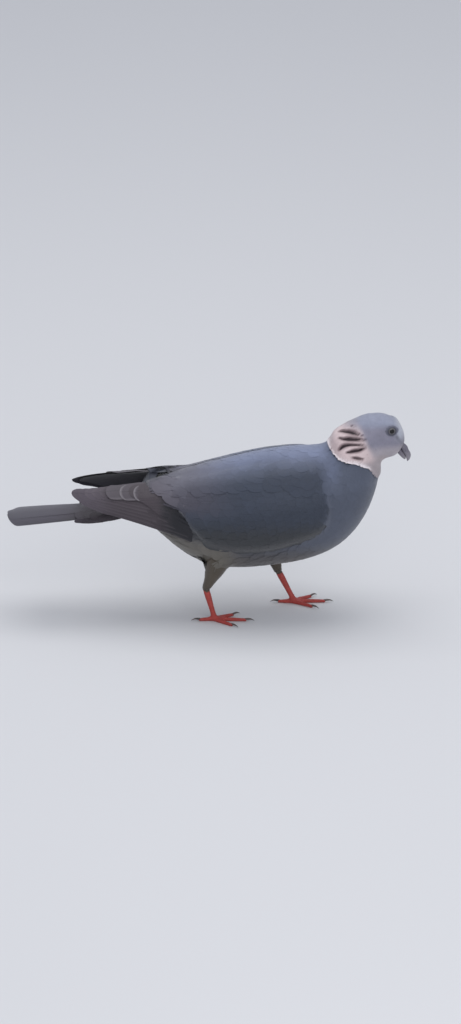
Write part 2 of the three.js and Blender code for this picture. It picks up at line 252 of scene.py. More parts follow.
def outward(points, faces):
    """A closed mesh's triangles, turned over if they face inward."""
    a, b, c = corners(points - points[0], faces)
    return faces if (a * np.cross(b, c)).sum() > 0 else faces[:, ::-1]


def fill(rows, field, values, kind=np.float32):
    """Hands one field's values to all of a mesh's rows."""
    rows.foreach_set(field, np.ascontiguousarray(values, kind).ravel())


def make_piece(name, points, faces, finish, nodes=(), colours=None, vanes=None, patch=None,
               shading=None):
    """A smooth object from arrays that rides on the one body and stands for some CAD nodes.

    Colours and vanes are what its finish reads, patch is its unwrap and shading its own directions.
    """
    if shading is None:
        faces = outward(points, faces)
    mesh = bpy.data.meshes.new(name)
    mesh.vertices.add(len(points))
    fill(mesh.vertices, "co", points)
    mesh.loops.add(faces.size)
    fill(mesh.loops, "vertex_index", faces, np.int32)
    mesh.polygons.add(len(faces))
    fill(mesh.polygons, "loop_start", np.arange(0, faces.size, faces.shape[1]), np.int32)
    mesh.update(calc_edges=True)
    mesh.shade_smooth()
    if colours is not None:
        solid = np.concatenate([colours, np.ones((len(points), 1))], 1)
        fill(mesh.attributes.new("Plumage", "FLOAT_COLOR", "POINT").data, "color", solid)
    if vanes is not None:
        fill(mesh.attributes.new("Vane", "FLOAT_VECTOR", "POINT").data, "vector", vanes)
    if patch is not None:
        fill(mesh.uv_layers.new(name="OFBake").data, "uv", patch[faces.ravel()])
    if shading is not None:
        mesh.normals_split_custom_set_from_vertices(shading.tolist())
    mesh.validate()
    mesh.materials.append(finish)
    piece = added(name, mesh)
    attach(piece, "root")
    if nodes:
        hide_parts(*nodes)
    return piece


# ---- materials ----

class Wire:
    """A socket that a finish's node gives out; arithmetic on it adds Math nodes."""

    def __init__(self, finish, socket):
        self.finish = finish
        self.socket = socket

    def maths(self, operation, *values):
        return self.finish.add("ShaderNodeMath", {"operation": operation}, dict(enumerate(values)))

    def __add__(self, other):
        return self.maths("ADD", self, other)

    def __radd__(self, other):
        return self.maths("ADD", other, self)

    def __sub__(self, other):
        return self.maths("SUBTRACT", self, other)

    def __rsub__(self, other):
        return self.maths("SUBTRACT", other, self)

    def __mul__(self, other):
        return self.maths("MULTIPLY", self, other)

    def __rmul__(self, other):
        return self.maths("MULTIPLY", other, self)

    def __pow__(self, other):
        return self.maths("POWER", self, other)

    def __abs__(self):
        return self.maths("ABSOLUTE", self)

    def sine(self):
        return self.maths("SINE", self)

    def step(self, low, high):
        """0 before low, 1 past high and a soft slope between."""
        settings = {"interpolation_type": "SMOOTHSTEP"}
        ranges = {"Value": self, "From Min": low, "From Max": high}
        return self.finish.add("ShaderNodeMapRange", settings, ranges)


class Finish:
    """A material being made: the shader's steady sockets are set first, then nodes are added."""

    def __init__(self, name, **steady):
        self.material = bpy.data.materials.new(name)
        self.material.use_nodes = True
        self.tree = self.material.node_tree
        self.shader = self.tree.nodes["Principled BSDF"]
        for socket, value in steady.items():
            self.shader.inputs[socket.replace("_", " ")].default_value = value

    def put(self, value, socket):
        if isinstance(value, Wire):
            self.tree.links.new(value.socket, socket)
        elif hasattr(value, "__len__") and len(value) == 3 and socket.type == "RGBA":
            socket.default_value = (*value, 1)
        else:
            socket.default_value = value

    def add(self, kind, settings=None, sockets=None, output=0):
        node = self.tree.nodes.new(kind)
        for name, value in (settings or {}).items():
            setattr(node, name, value)
        for name, value in (sockets or {}).items():
            self.put(value, node.inputs[name])
        return Wire(self, node.outputs[output])

    def mix(self, factor, first, second, way="MIX"):
        """A colour between two, or one laid over the other in the way given."""
        settings = {"data_type": "RGBA", "blend_type": way}
        return self.add("ShaderNodeMix", settings, {0: factor, 6: first, 7: second}, 2)

    def noise(self, scale, detail=2.0, stretch=None):
        """Cloudy values about 0.5, in object space, stretched along the axes if asked."""
        place = self.place()
        if stretch is not None:
            place = self.vectors("MULTIPLY", place, stretch)
        return self.add("ShaderNodeTexNoise", None, {"Vector": place, "Scale": scale, "Detail": detail})

    def vectors(self, operation, first, second, output=0):
        return self.add("ShaderNodeVectorMath", {"operation": operation}, {0: first, 1: second}, output)

    def attribute(self, name, output):
        return self.add("ShaderNodeAttribute", {"attribute_name": name}, None, output)

    def place(self):
        """Where each spot lies, in object space."""
        return self.add("ShaderNodeTexCoord", output=3)

    def bump(self, height, distance, strength=1.0):
        sockets = {"Height": height, "Distance": distance, "Strength": strength}
        self.put(self.add("ShaderNodeBump", None, sockets), self.shader.inputs["Normal"])

    def paint(self, socket, value):
        self.put(value, self.shader.inputs[socket])


def scaled(finish, colour, amount):
    """A colour made lighter or darker by an amount that changes over the surface."""
    return finish.add("ShaderNodeVectorMath", {"operation": "SCALE"}, {0: colour, "Scale": amount})


def vane_finish(name, barbs=260.0, relief=0.04 * MM, shaft=0.0, fringe=0.03, rough=0.62, streaks=0.05):
    """A feather: its own colour, fine slanting barbs, a shaft line, and a worn paler fringe at the tip."""
    finish = Finish(name, Sheen_Weight=0.25, Sheen_Roughness=0.5, Specular_IOR_Level=0.35)
    colour = finish.attribute("Plumage", 0)
    along = finish.add("ShaderNodeSeparateXYZ", None, {0: finish.attribute("Vane", 1)})
    across, chance = (Wire(finish, socket) for socket in along.socket.node.outputs[1:3])
    side = abs(across)
    barb = ((along * barbs - side * (barbs * 0.35)) + chance * 9).sine()
    clouds = finish.noise(160.0, 3.0)
    shade = 1 + barb * streaks + (clouds - 0.5) * 0.22 + (chance - 0.5) * 0.05
    shade = shade - side.step(0.09, 0.02) * shaft
    rim = (along + side * side * 0.1).step(0.86, 1.0)
    finish.paint("Base Color", scaled(finish, colour, shade + rim * fringe))
    finish.paint("Roughness", rough + (clouds - 0.5) * 0.2)
    finish.bump(barb * 0.5 + side.step(0.1, 0.0), relief, 0.5)
    return finish.material


def skin_finish():
    """Feathered skin and bare legs, both in the coat's own colours, with a net of fine scales."""
    finish = Finish("skin and leg scales", Specular_IOR_Level=0.3)
    colour = finish.attribute("Plumage", 0)
    sizes = {"Vector": finish.place(), "Scale": 900.0}
    cells = finish.add("ShaderNodeTexVoronoi", {"feature": "DISTANCE_TO_EDGE"}, sizes)
    clouds = finish.noise(220.0, 3.0)
    shade = 0.92 + (clouds - 0.5) * 0.3 + cells.step(0.0, 0.12) * 0.08
    finish.paint("Base Color", scaled(finish, colour, shade))
    finish.paint("Roughness", 0.55 + (clouds - 0.5) * 0.2)
    finish.bump(cells.step(0.0, 0.15), 0.1 * MM, 0.6)
    return finish.material


def horn_finish(name, base, tip, low, high, rough=0.38):
    """Bill or claw horn: one colour at its root, another at its tip, with fine growth lines."""
    finish = Finish(name, Specular_IOR_Level=0.5)
    axis = np.asarray(high) - np.asarray(low)
    away = finish.vectors("SUBTRACT", finish.place(), low)
    along = finish.vectors("DOT_PRODUCT", away, axis / (axis @ axis), 1)
    clouds = finish.noise(500.0, 3.0)
    lines = (along * 55 + clouds * 5).sine()
    colour = finish.mix((along + (clouds - 0.5) * 0.25).step(0.2, 0.95), base, tip)
    finish.paint("Base Color", scaled(finish, colour, 0.96 + lines * 0.035 + (clouds - 0.5) * 0.2))
    finish.paint("Roughness", rough + (clouds - 0.5) * 0.22)
    finish.bump(lines * 0.3 + clouds, 0.06 * MM, 0.4)
    return finish.material


# ---- the bird's own measures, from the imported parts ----

FLESH = ["trunk", "collar", "head", "wing_right", "wing_left", "thigh_right", "thigh_left"]
LEGS = ["shank_right", "shank_left", "foot_right", "foot_left"]


def centre(node):
    """The middle of a node's box."""
    low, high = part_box(node)
    return (np.array(low) + np.array(high)) / 2


def corner(node, *ends):
    """A point of a node's box, by a share from its low to its high end on each axis."""
    low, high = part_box(node)
    return np.array(low) + (np.array(high) - np.array(low)) * np.array(ends)


BILL_ROOT = corner("upper_bill", 0.1, 0.5, 0.95)
BILL_SLOPE = math.radians(53)
BILL_WAY = np.array([math.cos(BILL_SLOPE), 0, -math.sin(BILL_SLOPE)])
BILL_UP = np.array([math.sin(BILL_SLOPE), 0, math.cos(BILL_SLOPE)])
HEAD = corner("head", 0.62, 0.5, 0.6)
NECK = corner("collar", 0.5, 0.5, 0.42)
CHEST = corner("trunk", 0.74, 0.5, 0.5)
LOIN = corner("trunk", 0.4, 0.5, 0.45)
VENT = corner("trunk", 0.0, 0.5, 0.48)
TAIL_END = corner("tail", 0.0, 0.5, 0.1)
SPINE_ROWS = 24      # places on the spine between two of these
AT_ONCE = 20000      # points that are looked up in one go, to spare memory
EYE = {side: centre("eye_" + side) for side in SIDES}
BETWEEN_EYES = (EYE["right"] + EYE["left"]) / 2


def in_head(points):
    """Places in the head's own measures, in millimetres: ahead along the bill, sideways and up."""
    away = (points - BETWEEN_EYES) / MM
    return away @ BILL_WAY, away[..., 1], away @ BILL_UP


def spine():
    """Points along the bird's middle from the bill to the tail's end, on a smooth curve."""
    knots = np.array([BILL_ROOT, HEAD, NECK, CHEST, LOIN, VENT, TAIL_END])
    knots = np.concatenate([[2 * knots[0] - knots[1]], knots, [2 * knots[-1] - knots[-2]]])
    rows = []
    for i in range(1, len(knots) - 2):
        a, b, c, d = knots[i - 1:i + 3]
        for s in np.linspace(0, 1, SPINE_ROWS, endpoint=False):
            rows.append(0.5 * (2 * b + (c - a) * s + (2 * a - 5 * b + 4 * c - d) * s ** 2
                               + (3 * b - a - 3 * c + d) * s ** 3))
    return np.array(rows + [knots[-2]])


SPINE = spine()
SPINE_STEPS = np.linalg.norm(np.diff(SPINE, axis=0), axis=1)
SPINE_LENGTH = np.concatenate([[0], np.cumsum(SPINE_STEPS)])
SPINE_WAY = unit(np.gradient(SPINE, axis=0))


def along_spine(points):
    """For each point, the nearest place on the spine as a number of its rows."""
    found = np.empty(len(points), int)
    for start in range(0, len(points), AT_ONCE):
        part = points[start:start + AT_ONCE]
        gap = ((part[:, None, :] - SPINE[None]) ** 2).sum(2)
        found[start:start + AT_ONCE] = gap.argmin(1)
    return found


def unrolled(points):
    """The body's own unwrap: length along the spine and turn about it, both from 0 to 1."""
    row = along_spine(points)
    away = points - SPINE[row]
    up = np.cross(SPINE_WAY[row], [0, 1.0, 0])
    turn = np.arctan2(away[:, 1], -(away * up).sum(1))
    return np.stack([SPINE_LENGTH[row] / SPINE_LENGTH[-1], turn / (2 * math.pi) + 0.5], 1)


# ---- the face about the eyes ----

EYE_FLAT = 0.82     # the ball stands out by this share of a round ball
EYE_SLANT = 0.24    # how much deeper the front of the eye lies, for its distance ahead of the middle
EYE_LEVEL = 1.55    # how far out of the eye's middle the feathers round it lie, in millimetres
BARE_RING = 4.3     # the feathers begin this far from the eye's axis, in millimetres
EYE_MOUND = [9.0, 4.8]    # this far from the eye's axis the face begins to rise to it, and is level with it


def eye_axis_gap(points):
    """Distance in millimetres to the line through both eyes."""
    away = (points - EYE["right"]) / MM
    return np.hypot(away[:, 0], away[:, 2])


def round_eyes(points, sink=0.0):
    """Raises or lowers the face about each eye to meet its lids."""
    points = points.copy()
    gap = eye_axis_gap(points)
    ahead = (points[:, 0] - EYE["right"][0]) / MM
    for side, sign in SIDES.items():
        out = (points[:, 1] - EYE[side][1]) * sign / MM
        level = EYE_LEVEL - EYE_SLANT * ahead - 0.3 * np.maximum(ahead - 4, 0) - sink / MM
        share = step(*EYE_MOUND, gap) * step(1.0, 4.0, points[:, 1] * sign / MM)
        points[:, 1] += share * (level - out) * sign * MM
    return points


# ---- the form: the coat's outer surface ----

TRIES = 7          # places tried for each feather that finds room
CROWDING = 0.86    # share of its spacing that a feather keeps free


class Form:
    """A closed surface to lay feathers on, with smooth normals and, at every point, its own values."""

    def __init__(self, points, triangles):
        self.points = points
        self.triangles = triangles
        self.links = point_links(triangles)
        self.normals = unit(relax(point_normals(points, triangles), self.links, 6))
        self.tree = tree_of(points, triangles)
        self.values = {}

    def nearest(self, places):
        """The nearest spot of the surface to each place, with the triangle and the shares of its corners."""
        hits = [self.tree.find_nearest(place) for place in places.tolist()]
        spots = np.array([hit[0] for hit in hits])
        which = np.array([hit[2] for hit in hits])
        a, b, c = corners(self.points, self.triangles[which])
        ab, ac, at = b - a, c - a, spots - a
        d00, d01, d11 = (ab * ab).sum(1), (ab * ac).sum(1), (ac * ac).sum(1)
        d20, d21 = (at * ab).sum(1), (at * ac).sum(1)
        base = np.maximum(d00 * d11 - d01 * d01, 1e-24)
        second = (d11 * d20 - d01 * d21) / base
        third = (d00 * d21 - d01 * d20) / base
        shares = np.clip(np.stack([1 - second - third, second, third], 1), 0, 1)
        shares /= shares.sum(1, keepdims=True)
        return spots, which, shares

    def directions(self, places):
        """The smooth normals of the surface nearest to these places."""
        _, which, shares = self.nearest(places)
        return unit(self.read(self.normals, which, shares))

    def read(self, values, which, shares):
        """Values held at the points, read inside the triangles."""
        return (values[self.triangles[which]] * shares[..., None]).sum(1)

    def scatter(self, spacing):
        """Spots spread over the surface, each its own spacing from the next; where that is 0 none stand."""
        a, b, c = corners(self.points, self.triangles)
        area = np.linalg.norm(np.cross(b - a, c - a), axis=1) / 2
        wish = spacing[self.triangles].min(1)
        weight = np.where(wish > 0, area / np.maximum(wish, 1e-6) ** 2, 0)
        count = int(weight.sum() * TRIES)
        chosen = RANDOM.choice(len(weight), count, p=weight / weight.sum())
        r1 = np.sqrt(RANDOM.random(count))
        r2 = RANDOM.random(count)
        shares = np.stack([1 - r1, r1 * (1 - r2), r1 * r2], 1)
        spots = (self.points[self.triangles[chosen]] * shares[..., None]).sum(1)
        room = wish[chosen] * CROWDING
        order = np.argsort(room, kind="stable")
        kept = thinned(spots[order], room[order])
        picked = order[kept]
        return spots[picked], chosen[picked], shares[picked], wish[chosen[picked]]


def thinned(spots, room):
    """Numbers of the spots that keep clear of the earlier ones, for spots in order of their room."""
    cell = room.max()
    boxes = {}
    kept = []
    keys = np.floor(spots / cell).astype(int).tolist()
    places = spots.tolist()
    limits = (room * room).tolist()
    around = [(i, j, k) for i in (-1, 0, 1) for j in (-1, 0, 1) for k in (-1, 0, 1)]
    for number, (key, place, limit) in enumerate(zip(keys, places, limits)):
        free = True
        for i, j, k in around:
            for other in boxes.get((key[0] + i, key[1] + j, key[2] + k), ()):
                dx, dy, dz = place[0] - other[0], place[1] - other[1], place[2] - other[2]
                if dx * dx + dy * dy + dz * dz < limit:
                    free = False
                    break
            if not free:
                break
        if free:
            boxes.setdefault(tuple(key), []).append(place)
            kept.append(number)
    return np.array(kept)


def node_numbers(points, names):
    """The number of the CAD node that each point lies nearest to."""
    *surface, owners = node_mesh(*names)
    tree = tree_of(*surface)
    return owners[[tree.find_nearest(place)[2] for place in points.tolist()]]


OUTER = FLESH + ["tail"]
NUMBER = {name: number for number, name in enumerate(OUTER)}
EYES = ["eye_right", "eye_left"]
SWELL = 0.4 * MM        # closes the cuts between the nodes while they are made one
FORM_GRAIN = 1.0 * MM   # size of the form's facets

# The lower rim of the collar on either side of the neck: x and z, from the nape to the throat.
RIM_X = [96, 98.4, 103, 107.4, 112.9, 118.9, 124, 129.6, 134, 139]
RIM_Z = [152, 148.2, 144.4, 141.6, 140.0, 139.4, 138.4, 136.2, 131.5, 122]


def above_rim(points):
    """How far points lie above the collar's lower rim, in millimetres."""
    return points[:, 2] / MM - np.interp(points[:, 0] / MM, RIM_X, RIM_Z)


def past_rim(points, owner):
    """Node numbers in which the collar's part past its rim belongs to the trunk."""
    past = (above_rim(points) < 1.5) | (points[:, 0] < 98.5 * MM)
    return np.where((owner == NUMBER["collar"]) & past, NUMBER["trunk"], owner)


def undertail_fill(x, facing_up):
    """How far the coverts fill out the hollow under the tail's root, in millimetres."""
    return 3.0 * step(-124, -92, x) * step(-48, -68, x) * step(-0.1, -0.7, facing_up)


HACKLE_LIE = np.array([-1.0, 0, -0.12])
HACKLE_DROOP = np.array([0.35, 0, -0.75])    # what is added to the hackles' lie at the collar's rim
THIGH_LIE = np.array([-0.15, 0, -1.0])


def coat_form():
    """The coat's outer surface: all the flesh and the tail as one, with the facets smoothed away."""
    points, triangles = merged(OUTER + EYES, SWELL, FORM_GRAIN)
    links = point_links(triangles)
    owner = node_numbers(points, OUTER)
    soft = np.where(np.isin(owner, [NUMBER["collar"], NUMBER["head"]]), 0.28, 0.5)
    soft = relax(soft[:, None], links, 4)[:, 0]
    points = round_eyes(relax(points, links, 26, soft))
    x = points[:, 0] / MM
    points[:, 2] -= undertail_fill(x, point_normals(points, triangles)[:, 2]) * MM
    owner = past_rim(points, owner)
    form = Form(points, triangles)
    form.values["owner"] = owner
    lie = SPINE_WAY[along_spine(points)]
    thighs = np.isin(owner, [NUMBER["thigh_" + side] for side in SIDES])
    lie = np.where(thighs[:, None], THIGH_LIE, lie)
    face = near(points, BILL_ROOT, 12 * MM, 26 * MM)[:, None]
    lie = lie * (1 - face) + unit(points - BILL_ROOT) * face
    collar = relax((owner == NUMBER["collar"])[:, None] * 1.0, links, 3)
    droop = step(8, 1.5, above_rim(points))[:, None] * step(99, 106, x)[:, None]
    lie = lie * (1 - collar) + (HACKLE_LIE + HACKLE_DROOP * droop) * collar
    radial = unit((points - EYE["right"]) * [1, 0, 1])
    by_eye = step(9.5, 6.0, eye_axis_gap(points))[:, None]
    for _ in range(2):
        lie = relax(lie, links, 8)
        lie = lie - radial * np.minimum((lie * radial).sum(1, keepdims=True), 0) * by_eye
        lie = unit(lie - form.normals * (lie * form.normals).sum(1, keepdims=True))
    form.values["lie"] = lie
    return form


# ---- markings, with painted light and shade, shared by the skin and the coat ----

CROWN = tint(0x8d91a3)
FOREHEAD = tint(0xb1b4bf)
CHEEK = tint(0x878594)
LOWER_HEAD = tint(0xa69fa6)
THROAT = tint(0xa69b9e)
CHIN = tint(0xc4bec2)
LORE = tint(0x5c5b66)
COLLAR_PALE = tint(0xd4c1c1)
COLLAR_RIM = tint(0xf4eaec)
# The collar's brown: its own tone at the rear and low down, and painted shade about the furrows.
COLLAR_BROWN = tint(0x7d676b)
# Painted shade in the middle of the collar's furrows.
FURROW_SHADE = tint(0x2b1d23)
NAPE = tint(0x8f8d99)
BREAST = tint(0x4e5463)
# Painted light: the upper breast is the breast colour made lighter where it faces up.
BREAST_LIT = BREAST * 1.16
BREAST_LOW = tint(0x4a4c54)
BELLY = tint(0x464344)
UNDERTAIL = tint(0x504b46)
# Painted highlight: the rear scapulars are lighter towards the back's top line.
SCAPULAR_TOP_HIGHLIGHT = tint(0x6c6b77)
SCAPULAR_END = tint(0x575159)
# Painted shade on the rump between the raised wings.
RUMP_SHADE = tint(0x33343c)
VENT_COLOUR = tint(0x66625b)
# Painted sky sheen: the light blue laid along the top of the back and ahead of the wing.
MANTLE_SKY_SHEEN = tint(0x687088)
WING = tint(0x2e3542)
WING_LOW = tint(0x2d2f32)
SCAPULAR = tint(0x484651)
THIGH = tint(0x524a40)
LEG = tint(0xa8453f)
TAIL = tint(0x3b3542)
# Painted shadow of the wings on the tail's root.
TAIL_WING_SHADOW = tint(0x322b32)
TAIL_END_BAND = tint(0x3d3c45)
TAIL_UNDER = tint(0x4a4850)
PRIMARY = tint(0x41393f)
PRIMARY_TIP = tint(0x5a525b)
PRIMARY_EDGE = tint(0x625b60)
# Near black at the quills beside the coverts: the secondaries' own dark and painted shadow of the coverts.
SECONDARY_AND_SHADE = tint(0x1a1a21)
TERTIAL = tint(0x484148)
TERTIAL_RIM = tint(0x8b868a)
# The quills' dark undersides, deepened as painted shade; also painted on feathers that face into the gap
# between the wings.
QUILL_UNDER_AND_SHADE = tint(0x2a2832)
PUPIL = tint(0x060608)
IRIS_INSIDE = tint(0x5a5a5f)
IRIS = tint(0x6e6c6c)
IRIS_EDGE = tint(0x1c1b20)
LID_EDGE = tint(0x4c4d59)
LID_SKIN = tint(0x71727f)
BILL_HORN = tint(0x6f6b77)
BILL_TIP = tint(0x8d8890)
CLAW_HORN = tint(0x5a4b46)
CLAW_TIP = tint(0x2a2423)

# Furrows of the collar on one side of the neck, from the rear forward: x and z as shares of the collar's
# box, and the half width in millimetres.
FURROWS = [
    [(0.36, 0.925, 0.2), (0.43, 0.936, 0.45), (0.50, 0.941, 0.2)],
    [(0.14, 0.826, 0.5), (0.234, 0.850, 0.95), (0.335, 0.862, 1.25), (0.436, 0.858, 1.35),
     (0.517, 0.842, 0.9), (0.64, 0.815, 0.3)],
    [(0.131, 0.757, 0.45), (0.234, 0.757, 0.85), (0.347, 0.768, 1.5), (0.475, 0.767, 1.1),
     (0.596, 0.763, 0.75), (0.735, 0.755, 0.3)],
    [(0.140, 0.596, 0.7), (0.192, 0.639, 1.15), (0.246, 0.669, 1.25), (0.335, 0.686, 0.9),
     (0.475, 0.688, 0.65), (0.596, 0.679, 0.6), (0.70, 0.664, 0.3)],
    [(0.288, 0.572, 0.4), (0.374, 0.585, 0.8), (0.448, 0.596, 1.1), (0.557, 0.604, 1.0),
     (0.69, 0.626, 0.4)],
    [(0.404, 0.502, 0.45), (0.517, 0.483, 0.8), (0.635, 0.455, 0.45)],
]
FURROW_STEPS = 26


def furrow_lines():
    """Points along every furrow on both sides, on the neck's surface, with the half width there."""
    tree = tree_of(*node_mesh("collar", "head")[:2])
    places, widths = [], []
    for sign in SIDES.values():
        for furrow in FURROWS:
            knots = np.array(furrow)
            fine = np.linspace(0, len(knots) - 1, FURROW_STEPS)
            line = np.stack([np.interp(fine, np.arange(len(knots)), column) for column in knots.T], 1)
            for share_x, share_z, half in smoothed(line, 3):
                spot = corner("collar", share_x, 0.5, share_z)
                hit = tree.ray_cast((spot[0], sign * 0.1, spot[2]), (0, -sign, 0))[0]
                if hit is not None:
                    places.append(tuple(hit))
                    widths.append(half * MM)
    return np.array(places), np.array(widths)


FURROW_PLACES, FURROW_WIDTHS = furrow_lines()


def furrow_depth(points):
    """1 in the middle of a furrow, 0 at its edge and below 0 on the ridges, by distance."""
    depth = np.full(len(points), -2.0)
    low, high = corner("collar", -0.1, -0.1, -0.1), corner("collar", 1.1, 1.1, 1.1)
    inside = np.nonzero(((points > low) & (points < high)).all(1))[0]
    if len(inside):
        gap = np.linalg.norm(points[inside][:, None] - FURROW_PLACES[None], axis=2)
        depth[inside] = np.maximum((1 - gap / FURROW_WIDTHS).max(1), -2)
    return depth


# The markings in bands, laid one over the other: each one's tint, where along X and along Z in millimetres
# it begins and where it is full, and its greatest share. None stands for everywhere.
BODY_BANDS = [
    (BREAST_LOW, None, (76, 52), 1),
    # painted light on the upper breast
    (BREAST_LIT, None, (106, 124), 1),
    (BELLY, (110, 70), (72, 50), 1),
    (UNDERTAIL, (10, -40), (100, 70), 1),
    (VENT_COLOUR, (32, 8), (80, 66), 1),
]
# A band of painted sky sheen over the top of the body ahead of the wing.
AHEAD_OF_WING = [(MANTLE_SKY_SHEEN, (112, 100), (112, 134), 0.6)]
HEAD_BANDS = [
    (CROWN, None, (162, 168), 1),
    (FOREHEAD, (150, 157), (150, 158), 1),
    (LOWER_HEAD, None, (152, 143), 1),
    (THROAT, (150, 143), (143, 137), 1),
]
COLLAR_BANDS = [(NAPE, None, (160, 168), 1), (THROAT, None, (141, 134), 1)]
COLLAR_FRONT = [(COLLAR_BROWN, (112, 103), (158, 152), 0.3)]
# The bird's back in outline, x and z in millimetres, and the share of the painted sky sheen, a light blue
# highlight, this deep below it.
BACK_X = [-60, -24, -11.5, 13, 50, 83, 100, 112]
BACK_Z = [108, 123, 126, 132.5, 141.2, 142.6, 141.5, 139]
SHEEN_DEPTH = [0, 1.5, 4, 8, 12.5, 18, 24, 30, 38]
SHEEN_SHARE = [1.35, 1.12, 0.64, 0.21, 0.07, 0.07, 0.09, 0.08, 0.03]


def banded(points, colour, bands):
    """The colour with these bands laid over it."""
    x, _, z = points.T / MM
    for tone, along_x, along_z, share in bands:
        strength = step(*along_z, z)
        if along_x:
            strength = strength * step(*along_x, x)
        colour = blend(strength * share, colour, tone)
    return colour


def back_colour(points):
    """Painted sky sheen along the top of the back, fading fast down the sides; browner scapulars behind,
    lighter towards the top as a painted highlight; painted shade on the rump.
    """
    x, y, z = points.T / MM
    depth = np.interp(x, BACK_X, BACK_Z) - z
    colour = blend(step(98, 80, z), WING, WING_LOW)
    # Painted sky sheen, brightest at the back's top line and fading with depth below it.
    colour = blend(np.interp(depth, SHEEN_DEPTH, SHEEN_SHARE), colour, MANTLE_SKY_SHEEN)
    # Painted highlight: the rear scapulars grow lighter within 8 mm of the back's top line.
    rear = blend(step(8, 1, depth) * 0.7, SCAPULAR, SCAPULAR_TOP_HIGHLIGHT)
    rear = blend(step(-22, -48, x) * 0.8, rear, SCAPULAR_END)
    colour = blend(step(30, -24, x) * step(92, 108, z), colour, rear)
    # Painted shade: the rump between the wings is darkened, over a strip that is wider and reaches further
    # forward on the left (+Y) side, away from the camera.
    reach = 9 * step(-2, 2, y)
    rump = step(-36 + reach, -48 + reach, x) * step(19 + reach, 13 + reach, np.abs(y))
    return blend(rump, colour, RUMP_SHADE)


def body_colour(points, wings):
    """Body and folded wings: the dark wing ends sharply in front and below, and softly in the mantle."""
    x, _, z = points.T / MM
    colour = banded(points, BREAST, BODY_BANDS)
    ahead = banded(points, colour, AHEAD_OF_WING)
    back = back_colour(points)
    colour = blend(step(106, 124, z) * step(100, 88, x), ahead, back)
    for wing in wings:
        colour = blend(wing.cover(points), colour, back)
    return colour


def head_colour(points):
    """The grey head, pale at the forehead and the chin, with a dusky line from each eye to the bill."""
    colour = banded(points, CHEEK, HEAD_BANDS)
    chin = near(points, corner("lower_bill", 0.0, 0.5, 0.75), 3 * MM, 9 * MM)
    colour = blend(chin * 0.8, colour, CHIN)
    for side, sign in SIDES.items():
        start = EYE[side] + np.array([3.0, sign * 3.0, -3.0]) * MM
        way = BILL_ROOT + np.array([-1.0, sign * 3.0, 0.0]) * MM - start
        share = np.clip(((points - start) @ way) / (way @ way), 0, 1)
        gap = np.linalg.norm(points - start - share[:, None] * way, axis=1)
        colour = blend(step(2.6 * MM, 0.3 * MM, gap) * 0.65, colour, LORE)
    return colour


def collar_colour(points):
    """The pale collar with painted shade in and about its furrows, which fades into the grey of the cheek.
    """
    x, _, z = points.T / MM
    depth = furrow_depth(points)
    colour = banded(points, COLLAR_PALE, COLLAR_BANDS)
    # Painted shade: browner about each furrow, where its sides fall into the groove.
    colour = blend(step(-2.0, -0.35, depth) * 0.75, colour, COLLAR_BROWN)
    colour = banded(points, colour, COLLAR_FRONT)
    cheek = 130.5 - 0.45 * (z - 150)
    colour = blend(step(cheek - 3.5, cheek + 2.5, x), colour, head_colour(points))
    # Painted shade: near black in the middle of each furrow, behind x = 130 mm and fading out by 135 mm.
    return blend(step(-0.45, 0.1, depth) * step(135, 130, x), colour, FURROW_SHADE)


def tail_colour(points):
    """Painted shadow of the wings: the tail is darkened at its root, under them."""
    return blend(step(-128, -98, points[..., 0] / MM), TAIL, TAIL_WING_SHADOW)


def plumage(points, owners, wings):
    """The markings at these points, with their painted light and shade, each belonging to one of the OUTER
    nodes.
    """
    colour = body_colour(points, wings.values())
    kinds = {"head": collar_colour, "collar": collar_colour, "tail": tail_colour,
             "thigh_right": lambda places: THIGH, "thigh_left": lambda places: THIGH}
    for name, kind in kinds.items():
        mine = owners == NUMBER[name]
        if mine.any():
            colour[mine] = kind(points[mine])
    return colour


# ---- feathers ----

class Pattern:
    """The places of one vane's points: along it, across it, and below or on top, and its faces."""

    def __init__(self, rows, columns):
        angle = np.linspace(-math.pi / 2, math.pi / 2, columns)
        angle = np.concatenate([angle, angle[-2:0:-1]])
        self.rows, self.columns, self.ring = len(rows), columns, len(angle)
        self.along = np.repeat(rows, self.ring)
        self.across = np.tile(np.sin(angle), self.rows)
        self.arc = np.tile(1 - np.cos(angle), self.rows)
        self.below = np.tile(np.arange(self.ring) >= columns, self.rows) * 1.0
        faces = []
        m = self.ring
        for i in range(self.rows - 1):
            for j in range(m):
                a, b = i * m + j, i * m + (j + 1) % m
                on_top = j < columns - 1
                faces += [(a, b, b + m), (a, b + m, a + m)] if on_top else [(a, b, a + m), (b, b + m, a + m)]
        cap = [(0, 1, m - 1)]
        for j in range(1, columns - 2):
            cap += [(j, j + 1, m - j - 1), (j, m - j - 1, m - j)]
        cap += [(columns - 2, columns - 1, columns)]
        end = (self.rows - 1) * m
        faces += [(a, c, b) for a, b, c in cap]
        faces += [(a + end, b + end, c + end) for a, b, c in cap]
        self.faces = np.array(faces)


BODY_VANE = Pattern([0, 0.35, 0.65, 0.88, 1.0], 7)
SMALL_VANE = Pattern([0, 0.5, 1.0], 5)
HACKLE = Pattern([0, 0.25, 0.5, 0.7, 0.86, 1.0], 5)
QUILL = Pattern([0, 0.08, 0.18, 0.3, 0.42, 0.54, 0.66, 0.76, 0.84, 0.9, 0.94, 0.97, 0.99, 1.0], 9)
LINING = Pattern(np.linspace(0, 1, 36), 17)
WING_SHAPE = (0.75, 0.6, 0.85)    # a long wing feather's outline, and a tail feather's
TAIL_SHAPE = (0.45, 0.8, 0.95)
PATCH = 0.003        # size of a small feather on the unwrap
CAMBER = 0.012       # how far a small feather's edges droop, for its half width
STEADY = 0.8         # how far a free vane's directions keep to their mean
ROOT_SHARE = 0.35    # share of a feather that dips towards the skin


